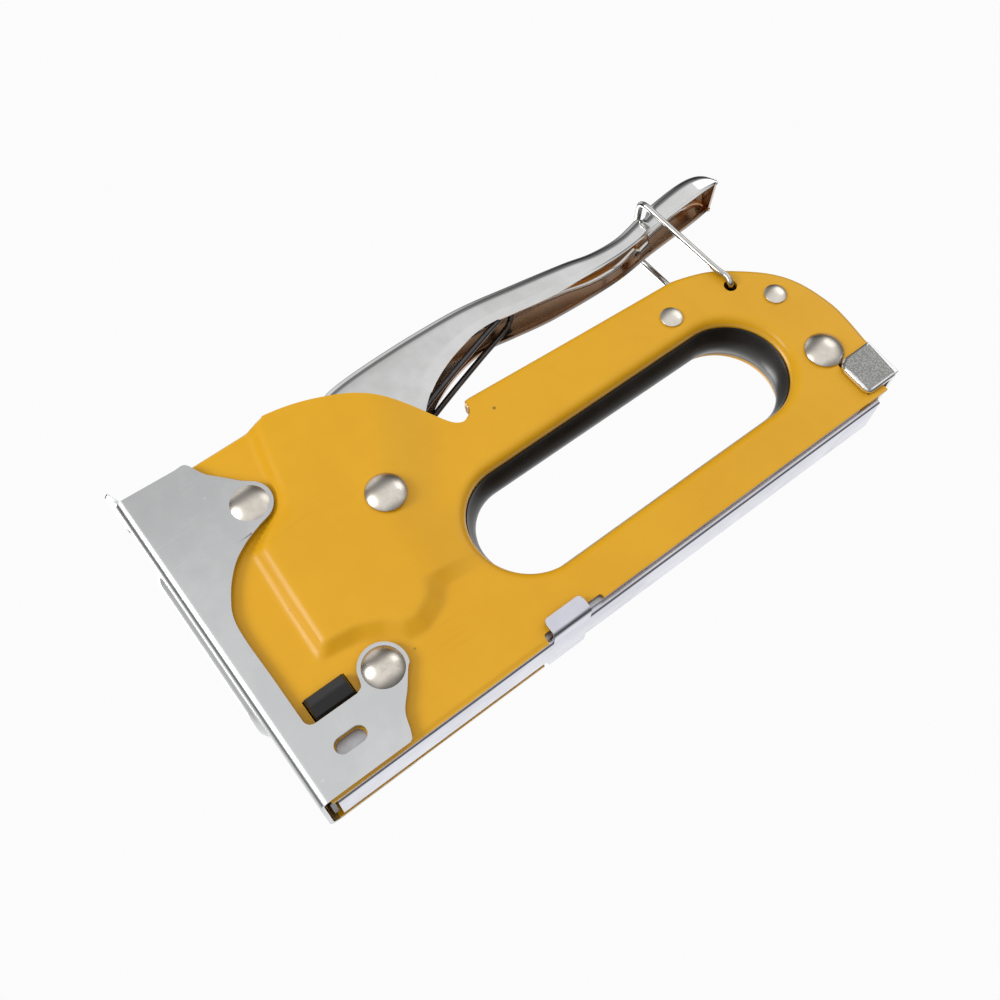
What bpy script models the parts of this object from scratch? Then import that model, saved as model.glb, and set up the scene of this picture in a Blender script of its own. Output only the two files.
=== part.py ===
"""Manual staple gun: two pressed steel shells, a wrapped nose plate, a spring driven striker,
a squeeze lever held down by a wire bail, and a slide-out magazine with a spring pusher.

All design numbers are millimetres in the body frame: X across (left side is +X), Y from the
nose towards the rear, Z up from the base.  The whole model hangs from one empty, which
shifts it so that the middle of its length lies over the world origin.
"""
from math import cos, hypot, pi, radians, sin

import bmesh
import bpy
from mathutils import Matrix, Vector

MM = 0.001
LENGTH_CENTRE = 94.0                    # middle of the overall length, from the nose

# ---- shells -------------------------------------------------------------------------
FACE_X = 10.0                           # outer face of a shell
SHEET = 1.0                             # pressed steel
BULGE = 3.0                             # height of the pressed housing
SHELL_FLOOR = 0.1                       # lower edge ahead of the magazine ears
REAR_FLOOR = 1.1                        # lower edge behind them, so the ears pass under
GRIP_TOP_FRONT = (85.1, 65.9)
GRIP_TOP_REAR = (151.0, 62.3)
HOLE_Z, HOLE_R = 30.0, 15.8             # hand hole, a round-ended slot
HOLE_FRONT, HOLE_REAR = 79.0, 148.5
FLANGE = 1.1                            # wall folded inwards along the grip

# ---- fasteners: (y, z) of each rivet ----------------------------------------------------
UPPER_NOSE = (24.4, 72.4)
LOWER_NOSE = (26.9, 18.3)
PIVOT = (52.8, 54.2)
GRIP_FRONT = (145.7, 52.4)
GRIP_REAR = (173.9, 41.1)
REAR = (172.0, 19.9)
SHANK_R, SMALL_SHANK_R = 2.4, 1.5
HEAD_R, SMALL_HEAD_R = 5.2, 3.0

# ---- nose ---------------------------------------------------------------------------------
PLATE_X = 10.2                          # inner face of the wrapped cheeks
PLATE_T = 1.0
FRONT_Y = -1.6                          # front face of the nose
PLATE_FLOOR, PLATE_TOP = 0.6, 93.0
PAD = (7.6, 18.6, 17.2, 23.0)           # y0, y1, z0, z1 of the shock pad
STRIKER_Y0, STRIKER_Y1 = -0.3, 0.9
SPRING_Y, SPRING_TOP, SPRING_BOTTOM = 9.5, 84.0, 40.8

# ---- lever and bail -----------------------------------------------------------------------
LEVER_X, LEVER_T = 7.25, 1.1
LEVER_TIP = 190.9
BAIL_PIVOT = (166.0, 50.7)
BAIL_BAR = (164.1, 87.0)
BAIL_X, BAIL_WIRE_R = 11.25, 0.85

# ---- magazine -----------------------------------------------------------------------------
MAGAZINE_X, MAGAZINE_T = 6.85, 0.8
MAGAZINE_FRONT, MAGAZINE_REAR, MAGAZINE_HEIGHT = 3.2, 175.0, 12.4
EAR_Y0, EAR_Y1, EAR_X = 63.4, 75.0, 11.4
RAIL_X = 4.6
ROD_Z, ROD_R = 5.9, 1.4
CATCH = (170.9, 182.7, 2.9, 14.4)       # y0, y1, z0, z1 of the rear catch's cheeks

GAP = 0.3
STEEL_YELLOW = (0.78, 0.41, 0.02)


def clear_scene():
    for item in list(bpy.data.objects):
        bpy.data.objects.remove(item, do_unlink=True)


def new_collection(name):
    group = bpy.data.collections.new(name)
    bpy.context.scene.collection.children.link(group)
    return group


def new_material(name, colour, roughness, metallic):
    mat = bpy.data.materials.new(name)
    mat.use_nodes = True
    shader = mat.node_tree.nodes["Principled BSDF"]
    shader.inputs["Base Color"].default_value = (*colour, 1.0)
    shader.inputs["Roughness"].default_value = roughness
    shader.inputs["Metallic"].default_value = metallic
    return mat


# ---- outlines -----------------------------------------------------------------------------

def arc(centre, radius, start, end, count):
    """Points on a circle from start to end, in degrees."""
    turn = [radians(start + (end - start) * i / count) for i in range(count + 1)]
    return [(centre[0] + radius * cos(a), centre[1] + radius * sin(a)) for a in turn]


def through(points, steps=3):
    """A smooth run through the points (Catmull-Rom), ends included."""
    ends = [points[0]] + list(points) + [points[-1]]
    run = []
    for a, b, c, d in zip(ends, ends[1:], ends[2:], ends[3:]):
        for i in range(steps):
            t = i / steps
            run.append(tuple(
                0.5 * (2 * b[k] + (c[k] - a[k]) * t
                       + (2 * a[k] - 5 * b[k] + 4 * c[k] - d[k]) * t ** 2
                       + (3 * b[k] - a[k] - 3 * c[k] + d[k]) * t ** 3)
                for k in (0, 1)))
    return run + [tuple(points[-1])]


def circle(centre, radius, count=16):
    return arc(centre, radius, 0, 360, count)[:-1]


def box_outline(y0, y1, z0, z1):
    return [(y0, z0), (y1, z0), (y1, z1), (y0, z1)]


def slot_outline(y0, y1, z, radius, count=12):
    """A round-ended slot whose end circles are centred at y0 and y1."""
    return arc((y0, z), radius, 90, 270, count) + arc((y1, z), radius, -90, 90, count)


def rounded_box(y0, y1, z0, z1, radius, count=4):
    corners = [((y1 - radius, z0 + radius), -90), ((y1 - radius, z1 - radius), 0),
               ((y0 + radius, z1 - radius), 90), ((y0 + radius, z0 + radius), 180)]
    points = []
    for centre, start in corners:
        points += arc(centre, radius, start, start + 90, count)
    return points


def distinct(outline):
    """The outline without points that repeat the one before."""
    return [p for i, p in enumerate(outline) if hypot(p[0] - outline[i - 1][0], p[1] - outline[i - 1][1]) > 1e-3]


def inset_band(path, width):
    """A strip of the given width on the left of an open path."""
    inner = []
    for i, point in enumerate(path):
        before = path[max(i - 1, 0)]
        after = path[min(i + 1, len(path) - 1)]
        dy, dz = after[0] - before[0], after[1] - before[1]
        size = hypot(dy, dz)
        inner.append((point[0] - dz / size * width, point[1] + dy / size * width))
    return list(path) + inner[::-1]


# ---- solids -------------------------------------------------------------------------------

def keep(name, mesh, mat, group):
    """Put a finished mesh in the scene under its own name."""
    item = bpy.data.objects.new(name, mesh)
    if mat is not None:
        mesh.materials.append(mat)
    else:
        item.hide_render = True
        item.display_type = "WIRE"
    group.objects.link(item)
    item.parent = frame
    return item


def mesh_from(bm, name):
    bmesh.ops.recalc_face_normals(bm, faces=bm.faces)
    mesh = bpy.data.meshes.new(name)
    bm.to_mesh(mesh)
    bm.free()
    return mesh


def curve_mesh(name, outlines, low, high, place):
    """Flat outlines (the first is the edge, the rest are holes) drawn out from low to high."""
    flat = bpy.data.curves.new(name, "CURVE")
    flat.dimensions = "2D"
    flat.fill_mode = "BOTH"
    flat.extrude = abs(high - low) / 2 * MM
    for outline in map(distinct, outlines):
        spline = flat.splines.new("POLY")
        spline.points.add(len(outline) - 1)
        for slot, (u, v) in zip(spline.points, outline):
            slot.co = (u * MM, v * MM, 0, 1)
        spline.use_cyclic_u = True
    drawn = bpy.data.objects.new(name, flat)
    bpy.context.scene.collection.objects.link(drawn)
    bpy.context.view_layer.update()
    evaluated = drawn.evaluated_get(bpy.context.evaluated_depsgraph_get())
    bm = bmesh.new()
    source = bpy.data.meshes.new_from_object(evaluated)
    bm.from_mesh(source)
    bmesh.ops.remove_doubles(bm, verts=bm.verts, dist=1e-6)
    bpy.data.objects.remove(drawn)
    bpy.data.curves.remove(flat)
    bpy.data.meshes.remove(source)
    bmesh.ops.transform(bm, matrix=place((low + high) / 2 * MM), verts=bm.verts)
    return bm


def across(x):
    """Side-view outlines: (u, v) becomes (y, z), drawn out along X."""
    return Matrix(((0, 0, 1, x), (1, 0, 0, 0), (0, 1, 0, 0), (0, 0, 0, 1)))


def upright(z):
    """Plan outlines: (u, v) becomes (x, y), drawn out along Z."""
    return Matrix.Translation((0, 0, z))


def slab(name, outlines, x0, x1, mat=None, group=None):
    bm = curve_mesh(name, outlines, x0, x1, across)
    return keep(name, mesh_from(bm, name), mat, group or cutters)


def block(name, x, y, z, mat=None, group=None):
    """A box given by its (low, high) on each axis."""
    bm = bmesh.new()
    bmesh.ops.create_cube(bm, size=1)
    size = [high - low for low, high in (x, y, z)]
    middle = [(high + low) / 2 for low, high in (x, y, z)]
    for vert in bm.verts:
        vert.co = Vector([(vert.co[i] * size[i] + middle[i]) * MM for i in range(3)])
    return keep(name, mesh_from(bm, name), mat, group or cutters)


def loft(name, rings, mat=None, group=None, closed=False):
    """Skin a row of equal rings of (x, y, z); the ends are capped unless the row is closed."""
    bm = bmesh.new()
    rows = [[bm.verts.new(Vector(p) * MM) for p in ring] for ring in rings]
    count = len(rows[0])
    pairs = list(zip(rows, rows[1:]))
    if closed:
        pairs.append((rows[-1], rows[0]))
    else:
        bm.faces.new(rows[0])
        bm.faces.new(rows[-1][::-1])
    for near, far in pairs:
        for i in range(count):
            j = (i + 1) % count
            bm.faces.new((near[i], near[j], far[j], far[i]))
    return keep(name, mesh_from(bm, name), mat, group or cutters)


def tube(name, points, radius, mat, group):
    """A round wire through the points, with closed ends."""
    wire = bpy.data.curves.new(name, "CURVE")
    wire.dimensions = "3D"
    wire.bevel_depth = radius * MM
    wire.bevel_resolution = 2
    wire.use_fill_caps = True
    spline = wire.splines.new("POLY")
    spline.points.add(len(points) - 1)
    for slot, point in zip(spline.points, points):
        slot.co = (*(c * MM for c in point), 1)
    wire.materials.append(mat)
    item = bpy.data.objects.new(name, wire)
    group.objects.link(item)
    item.parent = frame
    return item


def turned_x(name, profile, centre, mat, group, steps=18):
    """Turn a (radius, x) profile about the X line through centre; x runs down from +X."""
    mesh = bpy.data.meshes.new(name)
    edges = [(i, i + 1) for i in range(len(profile) - 1)]
    mesh.from_pydata([(r * MM, 0, x * MM) for r, x in profile], edges, [])
    item = keep(name, mesh, mat, group)
    item.location = (0, centre[0] * MM, centre[1] * MM)
    item.rotation_euler = (0, radians(90), 0)
    screw = item.modifiers.new("turn", "SCREW")
    screw.steps = steps
    screw.render_steps = steps
    screw.use_merge_vertices = True
    screw.merge_threshold = 1e-5
    return item


def combine(item, other, operation):
    step = item.modifiers.new(operation.lower(), "BOOLEAN")
    step.object = other
    step.operation = operation
    step.solver = "EXACT"


def join(item, *others):
    for other in others:
        combine(item, other, "UNION")


def cut(item, *others):
    for other in others:
        combine(item, other, "DIFFERENCE")


def hang(item, y, z):
    """Move a piece onto an empty on its joint's axis, without moving its shape."""
    key = f"axis_{y:.1f}_{z:.1f}"
    axis = bpy.data.objects.get(key)
    if axis is None:
        axis = bpy.data.objects.new(key, None)
        axis.location = (0, y * MM, z * MM)
        axis.parent = frame
        parts.objects.link(axis)
    item.parent = axis
    item.matrix_parent_inverse = Matrix.Translation((0, -y * MM, -z * MM))


# ---- body ---------------------------------------------------------------------------------

def grip_path():
    """The grip's outer edge, from above the rear catch round to the notch behind the lever."""
    return through([(184.2, 14.7), (185.4, 24.0), (185.2, 31.5), (182.6, 41.0), (177.6, 48.5),
                    (170.0, 55.1), (160.6, 60.6), GRIP_TOP_REAR]) + [GRIP_TOP_FRONT]


def shell_outline():
    ear_notch = [(61.6, SHELL_FLOOR)] + arc((63.0, 1.6), 0.9, 180, 90, 3)
    ear_notch += arc((78.6, 1.7), 0.8, 90, 0, 3) + [(80.4, REAR_FLOOR)]
    lip = arc((176.3, 1.9), 0.8, -90, 90, 4)
    lever_notch = through([GRIP_TOP_FRONT, (85.3, 63.9), (84.2, 61.6), (81.4, 60.3), (79.3, 61.4),
                           (77.2, 64.8), (72.7, 72.3), (67.7, 78.4), (61.8, 83.5), (54.5, 87.3),
                           (47.6, 89.8), (41.0, 91.0), (34.4, 91.2)])[1:]
    return ([(0.2, SHELL_FLOOR)] + ear_notch + lip + [(171.6, 2.7), (171.6, 14.7)]
            + grip_path() + lever_notch + [(0.2, 91.0)])


def bulge_outline(spread, rise):
    """The housing's foot, grown inwards by spread; rise lifts its lower edge."""
    lower = [(15.6 + spread, 29.5 + rise), (36.3, 28.9 + rise), (41.0, 27.6 + rise),
             (60.5 - spread, 27.8 + rise)]
    rear = [(61.0 - spread, 41.0), (68.0 - 2 * spread, 49.0), (78.0 - 3 * spread, 56.0)]
    beyond = [(90.0 - 3 * spread, 66.0), (70.0, 97.0), (36.5 + spread, 97.0)]
    front = [(31.5 + spread, 70.5), (26.0 + spread, 64.6), (16.8 + spread, 60.6)]
    return lower + rear + beyond + front


def rivet_places():
    large = [UPPER_NOSE, LOWER_NOSE, PIVOT, REAR]
    return [(p, SHANK_R) for p in large] + [(p, SMALL_SHANK_R) for p in (GRIP_FRONT, GRIP_REAR)]


def shell(name, side):
    """One pressed half: flat face, raised housing, folded grip edge and all its holes."""
    def at(x):
        return side * x

    def layer(outline, x):
        return [(at(x), y, z) for y, z in outline]

    outline = shell_outline()
    item = slab(name, [outline], at(FACE_X - SHEET), at(FACE_X), paint, parts)
    crest = FACE_X + BULGE
    outer = loft(f"{name}_bulge", [layer(bulge_outline(0, 0), FACE_X - 0.4),
                                   layer(bulge_outline(3.6, 2.0), crest)])
    inner = loft(f"{name}_hollow", [layer(bulge_outline(0.2, 0.2), FACE_X - 2 * SHEET),
                                    layer(bulge_outline(4.2, 2.6), crest - SHEET)])
    trim = slab(f"{name}_trim", [outline], at(0), at(crest + 1))
    fold = slab(f"{name}_fold", [inset_band(grip_path(), FLANGE)], at(GAP), at(FACE_X - 0.4))
    join(item, outer)
    cut(item, inner)
    combine(item, trim, "INTERSECT")
    lid = inset_band([(38.0, 91.05), (0.2, 91.0)], FLANGE)
    join(item, fold, slab(f"{name}_lid", [lid], at(GAP), at(FACE_X - 0.4)))
    reach = (at(FACE_X - 3), at(FACE_X + 6))
    for i, (centre, radius) in enumerate(rivet_places()):
        cut(item, slab(f"{name}_rivet_hole_{i}", [circle(centre, radius + GAP)], *reach))
    cut(item, slab(f"{name}_bail_hole", [circle(BAIL_PIVOT, BAIL_WIRE_R + 0.7)], *reach))
    cut(item, slab(f"{name}_hand_hole", [slot_outline(HOLE_FRONT, HOLE_REAR, HOLE_Z, HOLE_R)], *reach))
    y0, y1, z0, z1 = PAD
    window = box_outline(y0 - GAP, y1 + GAP, z0 - GAP, z1 + GAP)
    cut(item, slab(f"{name}_pad_window", [window], *reach))
    cut(item, slab(f"{name}_nose_slot", [slot_outline(9.5, 13.5, 8.9, 2.0, 6)], *reach))
    return item


def nose_plate():
    """Chromed sheet wrapped round the nose: a U in plan, trimmed to its side outline."""
    outer = PLATE_X + PLATE_T
    bend = 1.4
    plan = [(outer, 34.0)] + arc((outer - bend, FRONT_Y + bend), bend, 0, -90, 4)
    plan += arc((bend - outer, FRONT_Y + bend), bend, -90, -180, 4) + [(-outer, 34.0)]
    plan += [(-PLATE_X, 34.0), (-PLATE_X, FRONT_Y + PLATE_T), (PLATE_X, FRONT_Y + PLATE_T)]
    plan += [(PLATE_X, 34.0)]
    bm = curve_mesh("nose_plate", [plan], PLATE_FLOOR, PLATE_TOP + 2, upright)
    item = keep("nose_plate", mesh_from(bm, "nose_plate"), chrome, parts)
    y0, _, z0, _ = PAD
    upper = arc(UPPER_NOSE, 6.2, -95, 60, 6)
    lower = arc(LOWER_NOSE, 6.2, -40, 165, 8)
    side = [(-5.0, PLATE_FLOOR), (22.4, PLATE_FLOOR)] + through([(23.6, 1.6), (25.4, 6.5), (29.6, 11.5)])
    side += lower + [(20.2, z0 - GAP), (6.4, z0 - GAP)] + arc((6.4, 18.1), 1.2, -90, -180, 3)
    side += through([(5.2, 46.7), (7.9, 54.1), (12.8, 60.6), (19.0, 65.0)]) + upper
    side += through([(24.4, 80.6), (20.2, 84.0), (18.6, 88.6), (17.1, 91.2)]) + [(-1.0, 93.0), (-5.0, 93.0)]
    slot = slot_outline(9.5, 13.5, 8.9, 2.0, 6)
    holes = [circle(centre, SHANK_R + GAP) for centre in (UPPER_NOSE, LOWER_NOSE)]
    combine(item, slab("nose_plate_side", [side, slot, *holes], -14, 14), "INTERSECT")
    lip = [(FRONT_Y, 91.0), (-2.9, 96.0), (-2.4, 96.6), (-1.8, 96.2), (FRONT_Y + PLATE_T, 91.6)]
    join(item, slab("nose_plate_lip", [lip], -outer + 1.4, outer - 1.4))
    rib = rounded_box(-5.5, 5.5, 26.0, 73.0, 5.0)
    flat = [(x, z) for x, z in rib]
    rings = [[(x * s, y, 49.5 + (z - 49.5) * (0.94 + 0.06 * s)) for x, z in flat]
             for s, y in ((0.75, FRONT_Y - 1.2), (1.0, FRONT_Y + 0.3))]
    join(item, loft("nose_plate_rib", rings))
    return item


def grip_liner():
    """Moulded liner of the hand hole: a round-ended ring, waisted inwards at the middle."""
    section = [(15.5, -9.6), (15.5, 9.6), (14.4, 9.6), (13.0, 4.5), (12.5, 0.0), (13.0, -4.5), (14.4, -9.6)]
    rings = []
    for centre, start in ((HOLE_FRONT, 90), (HOLE_REAR, -90)):
        for i in range(13):
            a = radians(start + 15 * i)
            rings.append([(x, centre + r * cos(a), HOLE_Z + r * sin(a)) for r, x in section])
    return loft("grip_liner", rings, black_plastic, parts, closed=True)


def shock_pad():
    """Rubber bumper across the body; its ends show through the shells as shallow roofs."""
    y0, y1, z0, z1 = PAD
    ridge = (z0 + z1) / 2
    ends = [(-11.6, ridge - 0.4, ridge + 0.4), (-10.4, z0, z1), (10.4, z0, z1), (11.6, ridge - 0.4, ridge + 0.4)]
    rings = [[(x, y0, low), (x, y1, low), (x, y1, high), (x, y0, high)] for x, low, high in ends]
    return loft("shock_pad", rings, rubber, parts)


def magazine_guide():
    """Fixed cover over the magazine: an upturned U between the shells."""
    outer = [(-8.45, 1.4), (-7.25, 1.4), (-7.25, 12.8), (7.25, 12.8), (7.25, 1.4), (8.45, 1.4), (8.45, 14.0),
             (-8.45, 14.0)]
    rings = [[(x, y, z) for x, z in outer] for y in (2.6, 168.0)]
    return loft("magazine_guide", rings, zinc, parts)


def rivet(name, centre, seat, height, head, shank):
    """A rivet right through the body with a domed head on each side."""
    sphere = (head ** 2 + height ** 2) / (2 * height)
    dome = []
    for i in range(6):
        r = head * sin(pi / 2 * i / 5)
        dome.append((r, seat + height - sphere + (sphere ** 2 - r ** 2) ** 0.5))
    top = dome + [(head, seat), (shank, seat)]
    profile = top + [(r, -x) for r, x in reversed(top)]
    return turned_x(name, profile, centre, nickel, parts)


def bush(name, centre, shank, half):
    """A spacer tube on a rivet, which holds the shells apart."""
    inner, outer = shank + GAP, shank + 1.8
    return slab(name, [circle(centre, outer), circle(centre, inner)], -half, half, zinc, parts)


def body_fasteners():
    on_plate, on_face, on_bulge = PLATE_X + PLATE_T + GAP, FACE_X + GAP, FACE_X + BULGE + GAP
    rivet("upper_nose_rivet", UPPER_NOSE, on_plate, 2.1, HEAD_R, SHANK_R)
    rivet("lower_nose_rivet", LOWER_NOSE, on_plate, 2.9, HEAD_R, SHANK_R)
    rivet("lever_pivot_rivet", PIVOT, on_bulge, 2.1, HEAD_R - 0.2, SHANK_R)
    rivet("grip_front_rivet", GRIP_FRONT, on_face, 0.9, SMALL_HEAD_R, SMALL_SHANK_R)
    rivet("grip_rear_rivet", GRIP_REAR, on_face, 0.9, SMALL_HEAD_R, SMALL_SHANK_R)
    rivet("rear_rivet", REAR, on_face, 2.1, HEAD_R - 0.2, SHANK_R)
    half = FACE_X - SHEET - GAP
    bush("upper_nose_bush", UPPER_NOSE, SHANK_R, half)
    bush("lower_nose_bush", LOWER_NOSE, SHANK_R, half)
    bush("grip_front_bush", GRIP_FRONT, SMALL_SHANK_R, half)
    bush("grip_rear_bush", GRIP_REAR, SMALL_SHANK_R, half)
    bush("rear_bush", REAR, SHANK_R, half)


# ---- drive --------------------------------------------------------------------------------

def coil(radius, turns, start, end, along_y, per_turn=14):
    """Points of a straight coil from start to end, about a vertical or a lengthwise axis."""
    count = int(turns * per_turn)
    points = []
    for i in range(count + 1):
        a = 2 * pi * turns * i / count
        s = start + (end - start) * i / count
        points.append((radius * cos(a), s, radius * sin(a)) if along_y
                      else (radius * cos(a), radius * sin(a), s))
    return points


def drive_spring():
    wire = 0.9
    points = coil(5.2, 7.5, SPRING_BOTTOM + wire, SPRING_TOP - wire, False, 12)
    return tube("main_spring", [(x, y + SPRING_Y, z) for x, y, z in points], wire, spring_steel, parts)


def spring_seat():
    half = FACE_X - SHEET - GAP
    seat = block("spring_seat", (-half, half), (1.6, 18.0), (SPRING_TOP + GAP, SPRING_TOP + 2.3), zinc, parts)
    return seat


def blade_guide():
    half = FACE_X - SHEET - GAP
    return block("blade_guide", (-half, half), (1.3, 2.4), (14.4, 22.8), zinc, parts)


def striker():
    blade = block("striker_blade", (-5.4, 5.4), (STRIKER_Y0, STRIKER_Y1), (1.0, 38.0), dark_steel, parts)
    hammer = block("hammer", (-7.5, 7.5), (STRIKER_Y1 + GAP, 17.0), (PAD[3] + GAP + 0.1, SPRING_BOTTOM - GAP),
                   dark_steel, parts)
    cut(hammer, block("hammer_pocket", (-3.0, 3.0), (11.2, 18.0), (32.6, 38.4)))
    return blade, hammer


def lift_arm():
    """Steel arm on the lever's rivet whose tooth reaches into the hammer."""
    lobe = arc(PIVOT, 6.6, -75, 130, 8)
    tooth = [(30.0, 50.5), (19.2, 37.0), (14.5, 36.8), (14.3, 34.4), (21.5, 34.2)]
    outline = lobe + tooth
    item = slab("lift_arm", [outline, circle(PIVOT, SHANK_R + GAP)], -2.4, 2.4, dark_steel, parts)
    hang(item, *PIVOT)
    return item


def lever():
    """Pressed channel, open below and in front, on the pivot rivet."""
    top = [(51.0, 86.0)] + through([(54.5, 90.0), (60.0, 92.0), (69.0, 92.8), (87.5, 93.2), (103.0, 92.6),
                                    (119.7, 89.9), (135.0, 87.3), (144.0, 85.8), (153.0, 85.4), (161.6, 86.9)])
    groove = [(162.4, 86.6), (163.0, 85.8), (165.4, 85.8), (168.2, 87.7)]
    tail = through([(173.0, 88.3), (180.0, 89.0), (186.0, 88.6), (189.6, 86.8), (LEVER_TIP, 84.2)])
    under = through([(188.6, 81.6), (184.0, 80.4), (176.0, 80.0), (165.0, 79.2), (155.0, 77.8), (143.0, 77.3),
                     (126.0, 78.2), (113.0, 80.4), (102.0, 81.7), (91.5, 79.4), (83.0, 75.0), (76.5, 69.5),
                     (66.0, 54.0)])
    lobe = arc(PIVOT, 7.6, -20, -200, 10)
    outline = top + groove + tail + under + lobe
    hole = circle(PIVOT, SHANK_R + GAP)
    item = slab("lever", [outline, hole], -LEVER_X, LEVER_X, chrome, parts)
    half = LEVER_X - LEVER_T
    roof = [(y, z - LEVER_T) for y, z in top[2:] + groove + tail if y < LEVER_TIP - 1.2]
    inner = [(40.0, 88.0)] + roof + [(LEVER_TIP - 1.2, 70.0), (150.0, 60.0), (60.0, 40.0), (40.0, 40.0)]
    cut(item, slab("lever_hollow", [inner], -half, half))
    hang(item, *PIVOT)
    return item


def return_spring():
    """Double torsion spring: a coil on each side of the lift arm, joined by a loop under the lever."""
    radius, wire = 7.9, 0.8
    turn, per_turn = 2.25, 12
    count = int(turn * per_turn)
    half = []
    for i in range(count + 1):
        a = radians(105 - 360 * turn * (1 - i / count))
        x = 3.4 + 1.9 * i / count
        half.append((x, PIVOT[0] + radius * cos(a), PIVOT[1] + radius * sin(a)))
    half += [(5.0, 80.0, 72.0), (4.7, 108.0, 81.2), (4.4, 114.6, 84.3), (3.4, 116.0, 85.4)]
    points = half + [(-x, y, z) for x, y, z in reversed(half)]
    item = tube("return_spring", points, wire, spring_steel, parts)
    hang(item, *PIVOT)
    return item


def bail():
    """Wire loop hooked into both shells and laid over the lever."""
    py, pz = BAIL_PIVOT
    by, bz = BAIL_BAR
    corner = 2.0
    bend = [(BAIL_X - corner + corner * cos(a), bz - corner + corner * sin(a))
            for a in (radians(v) for v in (0, 30, 60, 90))]
    lean = (by - py) / (bz - pz)
    half = [(7.6, py, pz), (10.4, py, pz), (BAIL_X - 0.2, py, pz + 0.4), (BAIL_X, py, pz + 1.6)]
    half += [(x, py + lean * (z - pz), z) for x, z in bend]
    points = half + [(-x, y, z) for x, y, z in reversed(half)]
    item = tube("bail", points, BAIL_WIRE_R, chrome, parts)
    hang(item, *BAIL_PIVOT)
    return item


# ---- magazine -----------------------------------------------------------------------------

def magazine_channel():
    """Sliding bottom channel with a folded finger ear on each side."""
    x, t = MAGAZINE_X, MAGAZINE_T
    section = [(-x, 0), (x, 0), (x, MAGAZINE_HEIGHT), (x - t, MAGAZINE_HEIGHT), (x - t, t), (t - x, t),
               (t - x, MAGAZINE_HEIGHT), (-x, MAGAZINE_HEIGHT)]
    item = loft("magazine_channel", [[(u, y, z) for u, z in section] for y in (MAGAZINE_FRONT, MAGAZINE_REAR)],
                zinc_bright, parts)
    reach = EAR_X
    for side in (1, -1):
        strap = [(x - 0.4, 0), (reach, 0), (reach, 4.8), (reach - 1.0, 4.8), (reach - 1.0, t), (x - 0.4, t)]
        rings = [[(side * u, y, z) for u, z in strap] for y in (EAR_Y0, EAR_Y1)]
        join(item, loft(f"magazine_ear_{side}", rings))
    hang(item, MAGAZINE_FRONT, 0)
    return item


def staple_rail():
    """Core that the staples straddle: an upturned U on a front foot."""
    x, t = RAIL_X, 0.8
    section = [(-x, 1.9), (t - x, 1.9), (t - x, 10.2), (x - t, 10.2), (x - t, 1.9), (x, 1.9), (x, 11.0),
               (-x, 11.0)]
    item = loft("staple_rail", [[(u, y, z) for u, z in section] for y in (2.6, 172.0)], zinc, parts)
    join(item, block("rail_foot", (-x, x), (3.4, 5.2), (MAGAZINE_T + GAP, 10.8)))
    hang(item, MAGAZINE_FRONT, 0)
    return item


def rear_catch():
    """Cast cap that closes the magazine: a cheek on each side and a back wall."""
    y0, y1, z0, z1 = CATCH
    cheek = arc((y0 + 3.2, z1 - 3.2), 3.2, 90, 180, 5) + [(y0, z0 + 0.6), (y0 + 0.6, z0), (y1 - 0.8, z0)]
    cheek += [(y1, z0 + 0.8), (y1, z1)]
    inner, outer = FACE_X + GAP, FACE_X + 1.9
    item = slab("rear_catch", [cheek], inner, outer, zinc_cast, parts)
    join(item, block("catch_wall", (-outer + 0.1, outer - 0.1), (y1 - 1.8, y1 - 0.1), (z0 + 0.4, z1 - 0.1)),
         slab("catch_far_cheek", [cheek], -outer, -inner))
    hang(item, CATCH[1], ROD_Z)
    return item


def guide_rod():
    rear = CATCH[1] - 1.8 - GAP
    bm = bmesh.new()
    length = rear - 8.0
    bmesh.ops.create_cone(bm, cap_ends=True, segments=12, radius1=ROD_R * MM, radius2=ROD_R * MM,
                          depth=length * MM)
    turn = Matrix.Translation((0, (8.0 + length / 2) * MM, ROD_Z * MM)) @ Matrix.Rotation(radians(90), 4, "X")
    bmesh.ops.transform(bm, matrix=turn, verts=bm.verts)
    item = keep("guide_rod", mesh_from(bm, "guide_rod"), zinc, parts)
    hang(item, CATCH[1], ROD_Z)
    return item


def pusher_spring():
    wire = 0.35
    points = coil(2.35, 20, 18.4 + wire, 176.0, True, 10)
    item = tube("pusher_spring", [(x, y, z + ROD_Z) for x, y, z in points], wire, spring_steel, parts)
    hang(item, CATCH[1], ROD_Z)
    return item


def follower():
    """Saddle that rides round the rail and presses the staples forward."""
    y = (6.0, 18.0)
    item = block("follower", (-5.7, 5.7), y, (1.15, 12.0), dark_steel, parts)
    gap = RAIL_X + GAP
    for side in (1, -1):
        slot_x = sorted((side * gap, side * (RAIL_X - 0.8 - GAP)))
        cut(item, block(f"follower_slot_{side}", slot_x, (0, 30), (1.55, 11.3)))
    cut(item, block("follower_roof", (-gap, gap), (0, 30), (9.9, 11.3)))
    cut(item, block("follower_bore", (-ROD_R - GAP, ROD_R + GAP), (0, 30), (ROD_Z - ROD_R - GAP, ROD_Z + ROD_R + GAP)))
    hang(item, 6.0, ROD_Z)
    return item


clear_scene()
parts = new_collection("staple_gun")
cutters = new_collection("cutters")
frame = bpy.data.objects.new("staple_gun_frame", None)
frame.location = (0, -LENGTH_CENTRE * MM, 0)
parts.objects.link(frame)

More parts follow.
